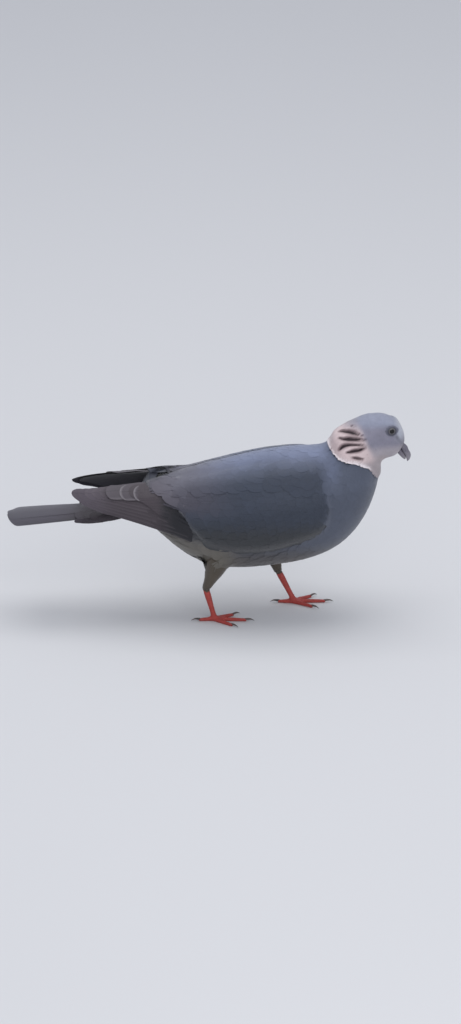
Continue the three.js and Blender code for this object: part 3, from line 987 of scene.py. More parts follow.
def outline(along, root=0.35, fullest=0.5, tip=1.0):
    """Half width of a vane along it, as a share of its greatest; its arc rounds the tip off besides."""
    before = root + (1 - root) * np.sin(np.clip(along / fullest, 0, 1) * math.pi / 2)
    past = np.clip((along - fullest) / (1 - fullest), 0, 1)
    after = 1 - (1 - tip) * past ** 2
    return np.where(along < fullest, before, after)


class Coat:
    """Feathers gathered into one piece."""

    def __init__(self):
        self.points, self.faces, self.colours, self.vanes = [], [], [], []
        self.roots, self.patches, self.shading = [], [], []
        self.count = 0

    def gather(self, points, pattern, colours, roots, chance, shading):
        """Adds N feathers: N x M points and colours, each root's place on the unwrap, and random numbers."""
        number, size = points.shape[:2]
        starts = self.count + np.arange(number) * size
        self.points.append(points.reshape(-1, 3))
        a, b, c = (points[:, pattern.faces[:, k]] - points[:, :1] for k in range(3))
        inward = (a * np.cross(b, c)).sum((1, 2)) < 0
        faces = np.where(inward[:, None, None], pattern.faces[:, ::-1], pattern.faces)
        self.faces.append((faces + starts[:, None, None]).reshape(-1, 3))
        self.colours.append(colours.reshape(-1, 3))
        vane = np.stack(np.broadcast_arrays(pattern.along, pattern.across, chance[:, None]), 2)
        self.vanes.append(vane.reshape(-1, 3))
        patch = np.stack([pattern.across / 2, pattern.along - 0.5], 1) * PATCH
        self.roots.append(np.repeat(roots, size, 0))
        self.patches.append(np.tile(patch, (number, 1)))
        self.shading.append(shading.reshape(-1, 3))
        self.count += number * size

    def strip(self, pattern, count):
        """Gives each long vane a strip of its own on the unwrap, in place of a small patch."""
        lane = (np.arange(count) + 0.5)[:, None] / count + pattern.across[None] * 0.42 / count
        strips = np.stack(np.broadcast_arrays(lane, 0.03 + 0.94 * pattern.along[None]), 2)
        self.roots = [strips.reshape(-1, 2)]
        self.patches = [np.zeros((1, 2))]

    def piece(self, name, finish, slot, *nodes):
        """All the feathers as one piece, with their patches spread over its own unwrap."""
        roots = np.concatenate(self.roots)
        low, high = roots.min(0), roots.max(0)
        places = 0.01 + (roots - low) / np.maximum(high - low, 1e-6) * 0.98 + np.concatenate(self.patches)
        points, faces, colours, vanes, shading = map(np.concatenate, (
            self.points, self.faces, self.colours, self.vanes, self.shading))
        make_piece(name, points, faces, finish, nodes, colours, vanes, places, shading)


def tilted(places, normals, relief, reach=0.25 * MM):
    """The directions of a surface that stands out by a relief from these places."""
    first = unit(np.cross(normals, [0.3, 1.0, 0.2]))
    second = np.cross(normals, first)
    for way in (first, second):
        slope = (relief(places + way * reach) - relief(places - way * reach)) / (2 * reach)
        normals = normals - way * np.clip(slope, -0.7, 0.7)[:, None]
    return unit(normals)


def sheet_normals(points, pattern, out):
    """Smooth directions of the upper faces of vanes not laid on the form; out tells the outer side."""
    grid = points.reshape(len(points), pattern.rows, pattern.ring, 3)[:, :, :pattern.columns]
    facing = unit(np.cross(np.gradient(grid, axis=1), np.gradient(grid, axis=2)))
    turned = (facing * out).sum(-1).mean((1, 2)) < 0
    facing = facing * np.where(turned, -1, 1)[:, None, None, None]
    facing = unit(facing + unit(facing.mean((1, 2), keepdims=True)) * STEADY)
    both = np.concatenate([facing, -facing[:, :, -2:0:-1]], 2)
    return both.reshape(points.shape)


def lay(form, pattern, spots, lie, normals, length, width, sink, lift, rise, thick=0.07 * MM, roundness=0.9,
        relief=None):
    """Lays feathers from these spots along their lie, following the form.

    The tip is lift above the form, the vane falls towards its root by rise, and the root dips to sink below.
    Gives N x M points, their feet on the form and the smooth directions that they are shaded with.
    """
    across = unit(np.cross(normals, lie))
    half = outline(pattern.along)[None] * width[:, None] / 2
    ahead = pattern.along[None] * length[:, None]
    ahead = ahead - roundness * half * (pattern.arc * pattern.along ** 2)[None]
    aside = pattern.across[None] * half
    flat = spots[:, None] + lie[:, None] * ahead[..., None] + across[:, None] * aside[..., None]
    number, size = ahead.shape
    found, which, shares = form.nearest(flat.reshape(-1, 3))
    out = unit(form.read(form.normals, which, shares))
    height = lift[:, None] - rise * length[:, None] * (1 - pattern.along)[None]
    height = height - sink[:, None] * np.clip(1 - pattern.along / ROOT_SHARE, 0, 1)[None] ** 1.5
    height = height - CAMBER * width[:, None] / 2 * (pattern.across ** 2)[None]
    height = (height - pattern.below[None] * thick).reshape(-1)
    shading = out
    if relief is not None:
        height = height + relief(found)
        shading = tilted(found, out, relief)
    points = (found + out * height[:, None]).reshape(number, size, 3)
    return points, found.reshape(number, size, 3), shading.reshape(number, size, 3)


def toned(colours, chance, pattern, spread=0.05, under=0.8):
    """Feather colours N x M x 3 with a little chance in each, and the underside darkened as painted shade.
    """
    # The underside is darkened by the under factor, as painted shade.
    level = (1 + (chance - 0.5) * 2 * spread)[:, None] * (1 - pattern.below * (1 - under))[None]
    return colours * level[..., None]


# ---- the skin ----

SKIN_NODES = FLESH + LEGS
SKIN_GRAIN = 0.9 * MM
COAT_DEPTH = {"trunk": 1.7, "collar": 2.2, "head": 0.9, "wing": 1.5, "thigh": 1.2, "shank": 0, "foot": 0}
SKIN_SHARE = 0.4     # share of the triangles that the hidden skin keeps
FAR = 20 * MM        # how far through the body its other side is looked for


def inner_room(points, triangles, normals):
    """How far it is through the body to its other side, from each point, up to FAR."""
    tree = tree_of(points, triangles)
    starts = (points - normals * 0.05 * MM).tolist()
    rays = [tree.ray_cast(start, way, FAR)[3] for start, way in zip(starts, (-normals).tolist())]
    return np.array([FAR if ray is None else ray for ray in rays])


def make_skin(wings):
    """One skin under the whole coat, bare and scaly on the legs, with no seam."""
    points, triangles = merged(SKIN_NODES + EYES, SWELL, SKIN_GRAIN)
    links = point_links(triangles)
    owner = node_numbers(points, SKIN_NODES)
    depth = np.array([COAT_DEPTH[name.split("_")[0]] * MM for name in SKIN_NODES])[owner]
    normals = point_normals(points, triangles)
    room = inner_room(points, triangles, normals)
    depth = relax(np.minimum(depth, room * 0.3)[:, None], links, 12)[:, 0]
    bare = owner >= len(FLESH)
    depth = np.where(bare, np.minimum(depth, 0.2 * MM), depth)
    points = relax(points - normals * depth[:, None], links, 14, np.where(bare, 0.05, 0.5))
    points = round_eyes(points, COAT_DEPTH["head"] * MM)
    points[:, 2] = np.maximum(points[:, 2], 0)
    flesh = past_rim(points, np.minimum(owner, len(FLESH) - 1))
    leg_share = relax(bare[:, None] * 1.0, links, 2)[:, 0]
    colours = blend(step(0.3, 0.7, leg_share), plumage(points, flesh, wings) * 0.9, LEG)
    skin = make_piece("skin", points, triangles, skin_finish(), SKIN_NODES, colours)
    group = skin.vertex_groups.new(name="hidden")
    for weight, chosen in ((0.0, depth <= 0.5 * MM), (1.0, depth > 0.5 * MM)):
        group.add(np.nonzero(chosen)[0].tolist(), weight, "REPLACE")
    thin = skin.modifiers.new("thin", "DECIMATE")
    thin.ratio = SKIN_SHARE
    thin.vertex_group = "hidden"
    bpy.context.view_layer.objects.active = skin
    bpy.ops.object.modifier_apply(modifier=thin.name)
    return Form(*read_mesh(skin.data))


# ---- the small feathers of the body ----

def flank_sink(spots, wings):
    """1 where body feathers pass under the lower edge of a folded wing."""
    sink = np.zeros(len(spots))
    for wing in wings.values():
        share = wing.share_of(spots)
        beside = (spots[:, 1] * wing.sign > 0) & (spots[:, 0] < wing.front) & (share < 0.3)
        sink = np.where(beside, step(-0.30, -0.12, share), sink)
    return sink


def feather_spacing(form, wings):
    """How far apart the small feathers stand at each point of the form; 0 where none grow."""
    points = form.points
    owner = form.values["owner"]
    x, y, z = points.T / MM
    body = 6.4 + 1.0 * step(60, 30, z) - 2.6 * step(112, 140, x + 0.3 * (z - 100))
    body = body - 1.2 * step(120, 140, z) * step(60, 95, x)
    body = body + (2.6 - body) * step(-15, -2, above_rim(points)) * step(90, 99, x)
    face = np.minimum(np.linalg.norm(points - BILL_ROOT, axis=1) / MM, eye_axis_gap(points) + 4)
    spacing = np.where(owner == NUMBER["head"], 0.80 + 0.65 * step(5, 24, face), body)
    spacing = np.where(owner == NUMBER["collar"], 1.35, spacing)
    for side, wing in wings.items():
        share = wing.share_of(points)
        under = (y * wing.sign > 0) & (share > 0.01) & (share < 0.74) & (points[:, 0] < wing.front_at(share))
        spacing = np.where(owner == NUMBER["wing_" + side], body, spacing)
        spacing = np.where(under, 0, spacing)
        spacing = np.where(owner == NUMBER["thigh_" + side], 4.6, spacing)
    spacing = np.where(owner == NUMBER["tail"], np.where(x > -94, 6.0, 0), spacing)
    ahead, aside, up = in_head(points)
    mouth = (ahead > 18.5) & (np.abs(aside) < 2.0) & (up > -9.0) & (up < -0.8)
    bare = (eye_axis_gap(points) < BARE_RING) | mouth | (z < 27)
    return np.where(bare, 0, spacing) * MM


# Each tract of small feathers: its length and width beside its spacing, its lift at the tip and its sink
# at the root in millimetres, how steeply it rises, how unevenly it lies in degrees, and its slot. One with
# a star is in two pieces, one on each side.
TRACTS = [
    ("head_feathers", 4.2, 1.9, 0.04, 0.2, 0.015, 6, "head_feathers"),
    ("collar_feathers_*", 6.0, 1.7, 0.08, 0.6, 0.03, 3, "collar_feathers"),
    ("breast_feathers", 3.2, 2.3, 0.05, 0.8, 0.022, 4, "slate_feathers"),
    ("belly_feathers", 3.2, 2.2, 0.12, 0.9, 0.03, 9, "slate_feathers"),
    ("back_feathers", 3.2, 2.3, 0.05, 0.8, 0.022, 4, "slate_feathers"),
    ("scapulars_*", 3.0, 2.3, 0.42, 0.6, 0.02, 4, "wing_feathers"),
    ("thigh_feathers_*", 3.0, 2.0, 0.15, 0.7, 0.035, 10, "thigh_feathers"),
    ("tail_coverts", 2.9, 2.0, 0.10, 0.8, 0.03, 3, "tail_feathers"),
]


def tract_of(spots, normals, owner, wings):
    """The tract that a feather at each spot belongs to."""
    x, y, z = spots.T / MM
    tract = np.where(normals[:, 2] > 0.25, "back_feathers", "breast_feathers").astype("U24")
    low = (normals[:, 2] < -0.35) & (x < 105) | (z < 78) & (x < 60)
    tract = np.where(low & (normals[:, 2] < 0.25), "belly_feathers", tract)
    for side, sign in SIDES.items():
        upper = (wings[side].cover(spots) > 0) & np.isin(owner, [NUMBER["trunk"], NUMBER["wing_" + side]])
        tract = np.where(upper, "scapulars_" + side, tract)
        tract = np.where((owner == NUMBER["collar"]) & (y * sign >= 0), "collar_feathers_" + side, tract)
        tract = np.where(owner == NUMBER["thigh_" + side], "thigh_feathers_" + side, tract)
    tract = np.where(owner == NUMBER["head"], "head_feathers", tract)
    return np.where(owner == NUMBER["tail"], "tail_coverts", tract)


def collar_relief(spots):
    """The ridges and furrows of the collar stand out from the form by this much."""
    depth = furrow_depth(spots)
    relief = (0.35 * step(-0.3, -1.0, depth) - 1.3 * step(-0.5, 0.5, depth)) * MM
    return relief * step(134, 130, spots[:, 0] / MM)


def short_of_wing(spots, way, length, wings):
    """Feathers in front of a folded wing end in a line along its front edge."""
    for wing in wings.values():
        share = wing.share_of(spots)
        front = wing.front_at(share)
        room = (spots[:, 0] - front + 0.8 * MM) / np.maximum(-way[:, 0], 0.2)
        ahead = (spots[:, 0] > front) & (spots[:, 1] * wing.sign > 0)
        beside = (share > -0.05) & (share < 0.95) & ahead
        length = np.where(beside, np.minimum(length, np.maximum(room, 3.0 * MM)), length)
    return length


def past_hackles(tips):
    """Whether the tips of collar feathers are past the collar's rim, which drops at the throat."""
    x = tips[:, 0] / MM
    return (above_rim(tips) < -1.2 - 1.8 * step(118, 126, x)) | (x < 97.5)


def in_bare_ring(tips):
    """Whether the tips of head feathers reach the bare ring of an eye."""
    return eye_axis_gap(tips) < BARE_RING - 0.2


def shortened(spots, way, length, past, least, share):
    """Lengths cut back by a share at a time until no tip is past a border, or the length is the least."""
    for _ in range(14):
        over = past(spots + way * length[:, None])
        length = np.where(over, np.maximum(length * share, least), length)
    return length


def small_feathers(form, wings, fine, soft):
    """The small feathers of the head, neck, body and thighs, each tract a piece of its own."""
    spots, which, shares, wish = form.scatter(feather_spacing(form, wings))
    normals = unit(form.read(form.normals, which, shares))
    lie = form.read(form.values["lie"], which, shares)
    lie = unit(lie - normals * (lie * normals).sum(1, keepdims=True))
    owner = form.values["owner"][form.triangles[which, 0]]
    tract = tract_of(spots, normals, owner, wings)
    for title, *measures in TRACTS:
        names = [title.replace("*", side) for side in SIDES] if "*" in title else [title]
        for name in names:
            mine = tract == name
            grown = (spots[mine], normals[mine], lie[mine], owner[mine], wish[mine])
            one_tract(form, wings, name, measures, grown, fine, soft)


def one_tract(form, wings, name, measures, grown, fine, soft):
    """One tract of small feathers as one piece."""
    long, wide, lift, sink, rise, untidy, slot = measures
    spots, normals, lie, owner, wish = grown
    kind = name.split("_")[0]
    small = kind in ("head", "collar")
    pattern = {"head": SMALL_VANE, "collar": HACKLE}.get(kind, BODY_VANE)
    count = len(spots)
    chance = RANDOM.random(count)
    swing = np.radians(RANDOM.normal(0, untidy, count))[:, None]
    way = lie * np.cos(swing) + np.cross(normals, lie) * np.sin(swing)
    size = wish * (1 + RANDOM.normal(0, 0.06, count))
    rim = np.maximum(step(6.0, 2.5, above_rim(spots)), step(104, 100, spots[:, 0] / MM))
    rim = rim * step(136, 130, spots[:, 0] / MM) * (kind == "collar")
    lift = lift + RANDOM.normal(0, 0.012 if small else 0.025, count) + 0.5 * rim
    if kind in ("breast", "belly"):
        lift = lift - 0.5 * flank_sink(spots, wings)
    length = size * long
    if kind == "collar":
        length = shortened(spots, way, length, past_hackles, 2.4 * MM, 0.92)
    if kind == "head":
        length = shortened(spots, way, length, in_bare_ring, 0.8 * MM, 0.86)
    if kind == "breast":
        length = short_of_wing(spots, way, length, wings)
    width = np.minimum(size * wide, length * 0.9)
    points, feet, shading = lay(form, pattern, spots, way, normals, length, width, np.full(count, sink * MM),
                                lift * MM, rise, (0.03 if small else 0.07) * MM, 1.4 if small else 0.9,
                                collar_relief if small else None)
    if kind == "tail":
        shading = sheet_normals(points, pattern, normals[:, None, None])
    owners = np.repeat(owner, points.shape[1])
    colours = plumage(feet.reshape(-1, 3), owners, wings).reshape(points.shape)
    # Painted shade: feathers high on the rear back that face the body's middle or rearward, between the
    # wings, are darkened to the shaded underside colour.
    inner = step(0.0, -0.5, normals[:, 1] * np.sign(spots[:, 1]))
    inner = np.maximum(inner, step(-0.4, -0.7, normals[:, 0]))
    inner = inner * step(-22 * MM, -34 * MM, spots[:, 0]) * step(94 * MM, 99 * MM, spots[:, 2])
    colours = blend(inner[:, None] * 0.85, colours, QUILL_UNDER_AND_SHADE)
    if kind == "collar":
        colours = blend(rim[:, None] * step(0.3, 0.9, pattern.along)[None] * 0.9, colours, COLLAR_RIM)
    if not small:
        whole = colours[:, -2 * pattern.ring:].mean(1, keepdims=True)
        colours = colours * 0.65 + whole * 0.35
    coat = Coat()
    coat.gather(points, pattern, toned(colours, chance, pattern, 0.02), unrolled(spots), chance, shading)
    coat.piece(name, fine if small else soft, slot)


# ---- the folded wings ----

WING_STEP = 1.5 * MM
WING_TURNS = np.radians(np.arange(-50, 87, 1.0))
WING_REACH = 90 * MM
AXIS_Z = centre("flight_feathers_right")[2]
# The front edge of the folded wing: share up the wing, and x from its foremost place, in millimetres.
FRONT_SHARE = [0, 0.08, 0.22, 0.38, 0.55, 0.70, 0.85, 1.0]
FRONT_BACK = [-13, -5, -1.5, -0.6, -1.2, -3.5, -8, -14]
# The rear margin of the coverts: share up the wing, and x, in millimetres.
MARGIN_SHARE = [0, 0.23, 0.42, 0.55, 0.75, 1.0]
MARGIN_X = [-4, -15.5, -23, -38, -50, -53]
COVERT_WHOLE = 104          # the coverts' lengths are for steps that add up to this
WING_CAMBER = 0.004         # how far a wing feather's edges droop, for its half width
WING_VANE = 0.08 * MM       # the thickness of a wing feather's vane
# Rows of coverts from the greater ones forward: how far each row's tips lie ahead of the last one's.
COVERT_STEPS = [0, 13, 11, 9, 8, 7.5, 7, 6.5, 6, 5.5, 5.5, 5, 5, 4.5, 4.5]


class FoldedWing:
    """The outer face of a folded wing, unrolled: x along the bird, and the turn about a line inside it.

    Its radius there is the wing node's, and the form's ahead of that.
    """

    def __init__(self, side, form):
        self.side = side
        self.sign = SIDES[side]
        points, triangles, _ = node_mesh("wing_" + side, "flight_feathers_" + side)
        self.front = points[:, 0].max() - 0.4 * MM
        self.xs = np.arange(points[:, 0].min() + 0.8 * MM, self.front + 15 * MM, WING_STEP)
        radius, under = self.measured(tree_of(points, triangles)), self.measured(form.tree)
        self.low, self.high = [], []
        for x, row, beneath in zip(self.xs, radius, under):
            inside = np.nonzero(~np.isnan(row))[0]
            if len(inside):
                self.low.append(WING_TURNS[inside[0]])
                self.high.append(WING_TURNS[inside[-1]])
            else:
                self.low.append(self.low[-1])
                self.high.append(self.high[-1])
                inside = np.nonzero(~np.isnan(beneath))[0]
                row[:] = beneath
            level = np.interp(WING_TURNS, WING_TURNS[inside], row[inside])
            beneath = np.where(np.isnan(beneath), level, np.maximum(beneath, level - 4 * MM))
            row[:] = np.where(np.isnan(row), beneath, row)
            row[:] = blend(step(-42 * MM, -26 * MM, x), row[:, None], beneath[:, None])[:, 0]
        self.low, self.high = (smoothed(np.array(turns), 4) for turns in (self.low, self.high))
        self.radius = smoothed_grid(radius, 4, 4)

    def measured(self, tree):
        """A surface's distance from the line for each x and turn; not a number where there is none."""
        radius = np.full((len(self.xs), len(WING_TURNS)), np.nan)
        for i, x in enumerate(self.xs):
            for j, turn in enumerate(WING_TURNS):
                aside, up = self.sign * math.cos(turn), math.sin(turn)
                start = (x, aside * WING_REACH, AXIS_Z + up * WING_REACH)
                gap = tree.ray_cast(start, (0, -aside, -up), WING_REACH)[3]
                if gap is not None:
                    radius[i, j] = WING_REACH - gap
        return radius

    def edges(self, x):
        """The turns at the wing's lower and upper edge."""
        return np.interp(x, self.xs, self.low), np.interp(x, self.xs, self.high)

    def radius_at(self, x, turn):
        """The face's distance from the line at each x and turn."""
        turn_step = WING_TURNS[1] - WING_TURNS[0]
        return read_grid(self.radius, (x - self.xs[0]) / WING_STEP, (turn - WING_TURNS[0]) / turn_step)

    def at(self, x, share, aside, height):
        """Points of the face at x and a share of the way up it, moved up by aside and out by height."""
        low, high = self.edges(x)
        turn = low + share * (high - low)
        turn = turn + aside / self.radius_at(x, turn)
        radius = self.radius_at(x, turn) + height
        return np.stack([x, self.sign * np.cos(turn) * radius, AXIS_Z + np.sin(turn) * radius], -1)

    def front_at(self, share):
        """Where the visible wing begins behind the breast feathers, for a share up it."""
        return self.front + np.interp(share, FRONT_SHARE, FRONT_BACK) * MM

    def cover(self, points):
        """1 on the visible folded wing, 0 on the body; soft along the top, sharp in front and below."""
        share = self.share_of(points)
        inside = (points[:, 1] * self.sign > 0) & (share > 0) & (points[:, 0] < self.front_at(share))
        return np.where(inside, step(1.05, 0.62, share), 0.0)

    def share_of(self, points):
        """How far up the wing points lie: 0 at its lower edge and 1 at its upper one."""
        low, high = self.edges(points[:, 0])
        turn = np.arctan2(points[:, 2] - AXIS_Z, self.sign * points[:, 1])
        return (turn - low) / (high - low)


def margin_at(share):
    """Where the coverts end, in millimetres, for a share up the wing."""
    return np.interp(share, MARGIN_SHARE, MARGIN_X)


def wing_vanes(wing, pattern, root, tip, width, heights, roundness=0.9, shape=(), swell=0.0, dip=0.0):
    """Vanes on a folded wing, N x M points. root and tip are x and share up the wing, N each.

    swell lifts the lowest ones where they come out from under the coverts, and dip sinks them under the
    scapulars.
    """
    along = pattern.along[None]
    half = outline(pattern.along, *shape)[None] * width[:, None] / 2
    x, share, height = (first[:, None] + (last - first)[:, None] * along
                        for first, last in zip((*root, heights[0]), (*tip, heights[1])))
    x = x - np.sign(tip[0] - root[0])[:, None] * roundness * half * (pattern.arc * pattern.along ** 4)[None]
    aside = pattern.across[None] * half
    height = height - WING_CAMBER * width[:, None] / 2 * (pattern.across ** 2)[None]
    height = height - pattern.below[None] * WING_VANE
    bare = step(0.42, 0.22, share) * step(1 * MM, -6 * MM, x - margin_at(share) * MM)
    height = height + swell * step(-48 * MM, -34 * MM, x) * bare
    height = height - dip * step(-60 * MM, -48 * MM, x)
    height = height - step(0.5 * MM, -2.5 * MM, wing.front_at(share) - x) * 1.0 * MM
    return wing.at(x, share, aside, height)


def wing_coverts(wing, form, finish):
    """Rows of coverts like tiles, from the wrist to the greater coverts over the flight feathers."""
    ahead = np.cumsum(COVERT_STEPS)
    middle = margin_at(0.4)
    coat = Coat()
    for row, portion in reversed(list(enumerate(ahead / ahead[-1]))):
        pitch = 4.2 + 3.0 * (1 - portion)
        low, high = wing.edges(np.array([(middle + (wing.front / MM - middle) * portion) * MM]))
        arc = float(wing.radius_at(np.array([0.02]), (low + high) / 2)[0] * (high - low)[0]) / MM
        count = max(int(arc / pitch), 4)
        share = (np.arange(count) + 0.25 + 0.5 * (row % 2)) / count * 0.95
        share = share + RANDOM.normal(0, 0.05, count) / count
        front = wing.front_at(share) / MM
        total = front - 0.5 - margin_at(share)
        tip_x = margin_at(share) + total * portion + RANDOM.normal(0, 0.4, count)
        gap = COVERT_STEPS[min(row + 1, len(COVERT_STEPS) - 1)] / COVERT_WHOLE * total
        length = gap * 2.3 + 3
        root_x = np.minimum(tip_x + length, front + 12)
        chance = RANDOM.random(count)
        lift = (0.10 + RANDOM.normal(0, 0.03, count)) * MM
        points = wing_vanes(wing, BODY_VANE, (root_x * MM, share), (tip_x * MM, share),
                            np.full(count, pitch * 2.1 * MM), (lift - 0.025 * length * MM, lift))
        places = wing.at(tip_x * MM, share, np.zeros(count), np.zeros(count))
        upper = step(0.55, 0.7, share)
        at_tip = blend(upper, back_colour(places), body_colour(places, [wing]))
        every = points.reshape(-1, 3)
        own = blend(upper[:, None], back_colour(every).reshape(points.shape),
                    body_colour(every, [wing]).reshape(points.shape))
        colours = own * 0.6 + at_tip[:, None] * 0.4
        shading = form.directions(every).reshape(points.shape)
        colours = toned(colours, chance, BODY_VANE, 0.02)
        coat.gather(points, BODY_VANE, colours, unrolled(places), chance, shading)
    coat.piece("wing_coverts_" + wing.side, finish, "wing_feathers")


def quill_colours(x, base, blade, rim, tips):
    """Long vanes' colours, N x M x 3: dark near the coverts, the secondaries' own dark with painted shadow
    of the coverts, pale along the lower edge and at the tip.
    """
    # Painted shadow of the coverts, with the secondaries' own dark, forward of x = -34 to -44 mm.
    colour = blend(step(-34 * MM, -44 * MM, x), base, blade)
    colour = blend(step(-72 * MM, -105 * MM, x), colour, PRIMARY_TIP)
    lower = step(-0.8, -1.0, QUILL.across)[None] * 0.3
    end = step(0.98, 0.992, QUILL.along)[None] * np.array(tips)[:, None]
    colour = blend(np.maximum(lower, end), colour, rim)
    # Undersides take their own dark colour deepened by painted shade.
    return blend(QUILL.below[None], colour, QUILL_UNDER_AND_SHADE)


def wing_lining(wing, finish):
    """The undersides of the folded quills as one sheet, which closes the wing on its inner side; its dark
    colour is their own, deepened as painted shade.
    """
    x = (-37 - 67 * LINING.along - 2.5 * (1 - LINING.arc) * LINING.along) * MM
    share = 0.5 + 0.47 * LINING.across * np.sqrt(1 - LINING.along ** 5 * 0.75)
    height = (-2.9 - 0.5 * LINING.below) * MM
    points = wing.at(x, share, np.zeros_like(x), height)[None]
    coat = Coat()
    colours = np.broadcast_to(QUILL_UNDER_AND_SHADE, points.shape)
    shading = sheet_normals(points, LINING, [0, wing.sign, 0.4])
    coat.gather(points, LINING, colours, np.zeros((1, 2)), np.full(1, 0.5), shading)
    coat.strip(LINING, 1)
    coat.piece("wing_lining_" + wing.side, finish, "flight_feathers")


# Sets of long feathers on a folded wing, from the lowest up: the tips' x and share up the wing, the roots',
# the widths, the tips' heights and how far the roots lie below them; the colours near the root, of the blade
# and of its rims, and how pale each tip's rim is; how round the tips are, and how much they swell and dip.
TEN, EIGHT, FOUR = np.arange(10), np.arange(8), np.arange(4)
PRIMARIES = (
    np.array([-109, -112.6, -111.5, -107.5, -102, -96, -90, -84, -79, -75]),
    np.array([0.28, 0.44, 0.54, 0.61, 0.67, 0.72, 0.75, 0.77, 0.78, 0.78]),
    6 + 0 * TEN, -0.03 + 0.045 * TEN, 14.5 + 0.1 * TEN, -2.0 + 0.11 * TEN, 0.5,
    SECONDARY_AND_SHADE, PRIMARY, PRIMARY_EDGE, 0.35 + 0 * TEN, 1.6, 2.0, 0)
SECONDARIES = (
    -42 - 3.4 * EIGHT, 0.32 + 0.055 * EIGHT, 16 + 0 * EIGHT, 0.26 + 0.055 * EIGHT, 16 + 0 * EIGHT,
    -0.95 + 0.10 * EIGHT, 0.5, SECONDARY_AND_SHADE, PRIMARY, PRIMARY, 0 * EIGHT, 1.0, 0, 0)
TERTIALS = (
    -84.5 + 11.3 * FOUR, 0.745 - 0.045 * FOUR, 8 + 0 * FOUR, 0.80 - 0.06 * FOUR, 17.5 + 0.4 * FOUR,
    -0.35 + 0.14 * FOUR, 1.8, TERTIAL, TERTIAL, TERTIAL_RIM, [0.0, 0.5, 0.6, 0.0], 0.9, 0, 1.6)


def flight_feathers(wing, finish):
    """Ten primaries, eight secondaries and four tertials of a folded wing, each over the one below."""
    coat = Coat()
    for tips, tip_share, roots, root_share, width, height, fall, *look, roundness, swell, dip in (
            PRIMARIES, SECONDARIES, TERTIALS):
        count = len(tips)
        height = height * MM
        points = wing_vanes(wing, QUILL, (roots * MM, root_share), (tips * MM, tip_share), width * MM,
                            (height - fall * MM, height), roundness, WING_SHAPE, swell * MM, dip * MM)
        chance = RANDOM.random(count)
        colours = toned(quill_colours(points[..., 0], *look), chance, QUILL, 0.05, 0.9)
        coat.gather(points, QUILL, colours, np.zeros((count, 2)), chance,
                    sheet_normals(points, QUILL, [0, wing.sign, 0.4]))
    coat.strip(QUILL, len(TEN) + len(EIGHT) + len(FOUR))
    coat.piece("flight_feathers_" + wing.side + "_vanes", finish, "flight_feathers",
               "flight_feathers_" + wing.side)


# ---- the tail ----

TAIL_GRAIN = 2 * MM
TAIL_PAIRS = 6
TAIL_ROOT_X = -58    # where the tail feathers begin, in millimetres


def tail_feathers(finish):
    """Six pairs of tail feathers, the middle pair on top, closed to a narrow fan."""
    points, triangles, _ = node_mesh("tail")
    tree = tree_of(points, triangles)
    low, high = points.min(0), points.max(0)
    xs = np.arange(low[0] + 1 * MM, high[0] - 1 * MM, TAIL_GRAIN)
    ys = np.linspace(low[1], high[1], 41)
    top = np.full((len(xs), len(ys)), np.nan)
    for i, x in enumerate(xs):
        for j, y in enumerate(ys):
            hit = tree.ray_cast((x, y, 0.2), (0, 0, -1))[0]
            if hit is not None:
                top[i, j] = hit[2]
        inside = np.nonzero(~np.isnan(top[i]))[0]
        top[i] = np.interp(ys, ys[inside], top[i][inside])
    top = smoothed_grid(top, 5, 3)
    coat = Coat()
    pair = np.repeat(np.arange(TAIL_PAIRS), 2)[::-1]
    sign = np.tile([-1, 1], TAIL_PAIRS)
    root_y = sign * (1.5 + 1.6 * pair)
    tip_y = sign * (3.2 + 2.35 * pair)
    tip_x = low[0] / MM + 0.35 * pair ** 1.6
    width = 18.5 - 0.3 * pair
    along, across = QUILL.along[None], QUILL.across[None]
    half = outline(QUILL.along, *TAIL_SHAPE)[None] * width[:, None] / 2
    back = along - 0.06 * QUILL.arc[None] * along ** 8
    x = TAIL_ROOT_X + (tip_x - TAIL_ROOT_X)[:, None] * back
    y = root_y[:, None] + (tip_y - root_y)[:, None] * along + across * half
    sink = 0.5 + 0.13 * pair[:, None] + 0.02 * sign[:, None] + (0.35 * (1 - along)) * (pair[:, None] > 0)
    height = -sink - 0.02 * half * across ** 2 - QUILL.below[None] * 0.12
    x, y = x * MM, y * MM
    level = read_grid(top, (x - xs[0]) / (xs[1] - xs[0]), (y - ys[0]) / (ys[1] - ys[0]))
    points = np.stack([x, y, level + (height + 0.45) * MM], 2)
    chance = RANDOM.random(len(pair))
    # Painted shade: the outer pairs, along the tail's low sides, are darkened by up to 35 %.
    colours = tail_colour(points) * (1 - 0.35 * step(3, 5, pair))[:, None, None]
    colours = blend(step(0.55, 0.95, QUILL.along)[None] * 0.35, colours, TAIL_END_BAND)
    colours = blend(QUILL.below[None], colours, TAIL_UNDER)
    coat.gather(points, QUILL, toned(colours, chance, QUILL, 0.04, 1.0), np.zeros((len(pair), 2)), chance,
                sheet_normals(points, QUILL, [0, 0, 1]))
    coat.strip(QUILL, len(pair))
    coat.piece("tail_feather_vanes", finish, "tail_feathers", "tail")


# ---- eyes, bill, claws and leg scales ----

EYE_RADIUS = (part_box("eye_right")[1].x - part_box("eye_right")[0].x) / 2


def revolved(profile, turns):
    """Rings about the Y axis from rows of radius and y."""
    profile = np.array(profile)
    angle = np.arange(turns) * 2 * math.pi / turns
    return np.stack([profile[:, :1] * np.cos(angle), np.repeat(profile[:, 1:], turns, 1),
                     profile[:, :1] * np.sin(angle)], 2).reshape(-1, 3)


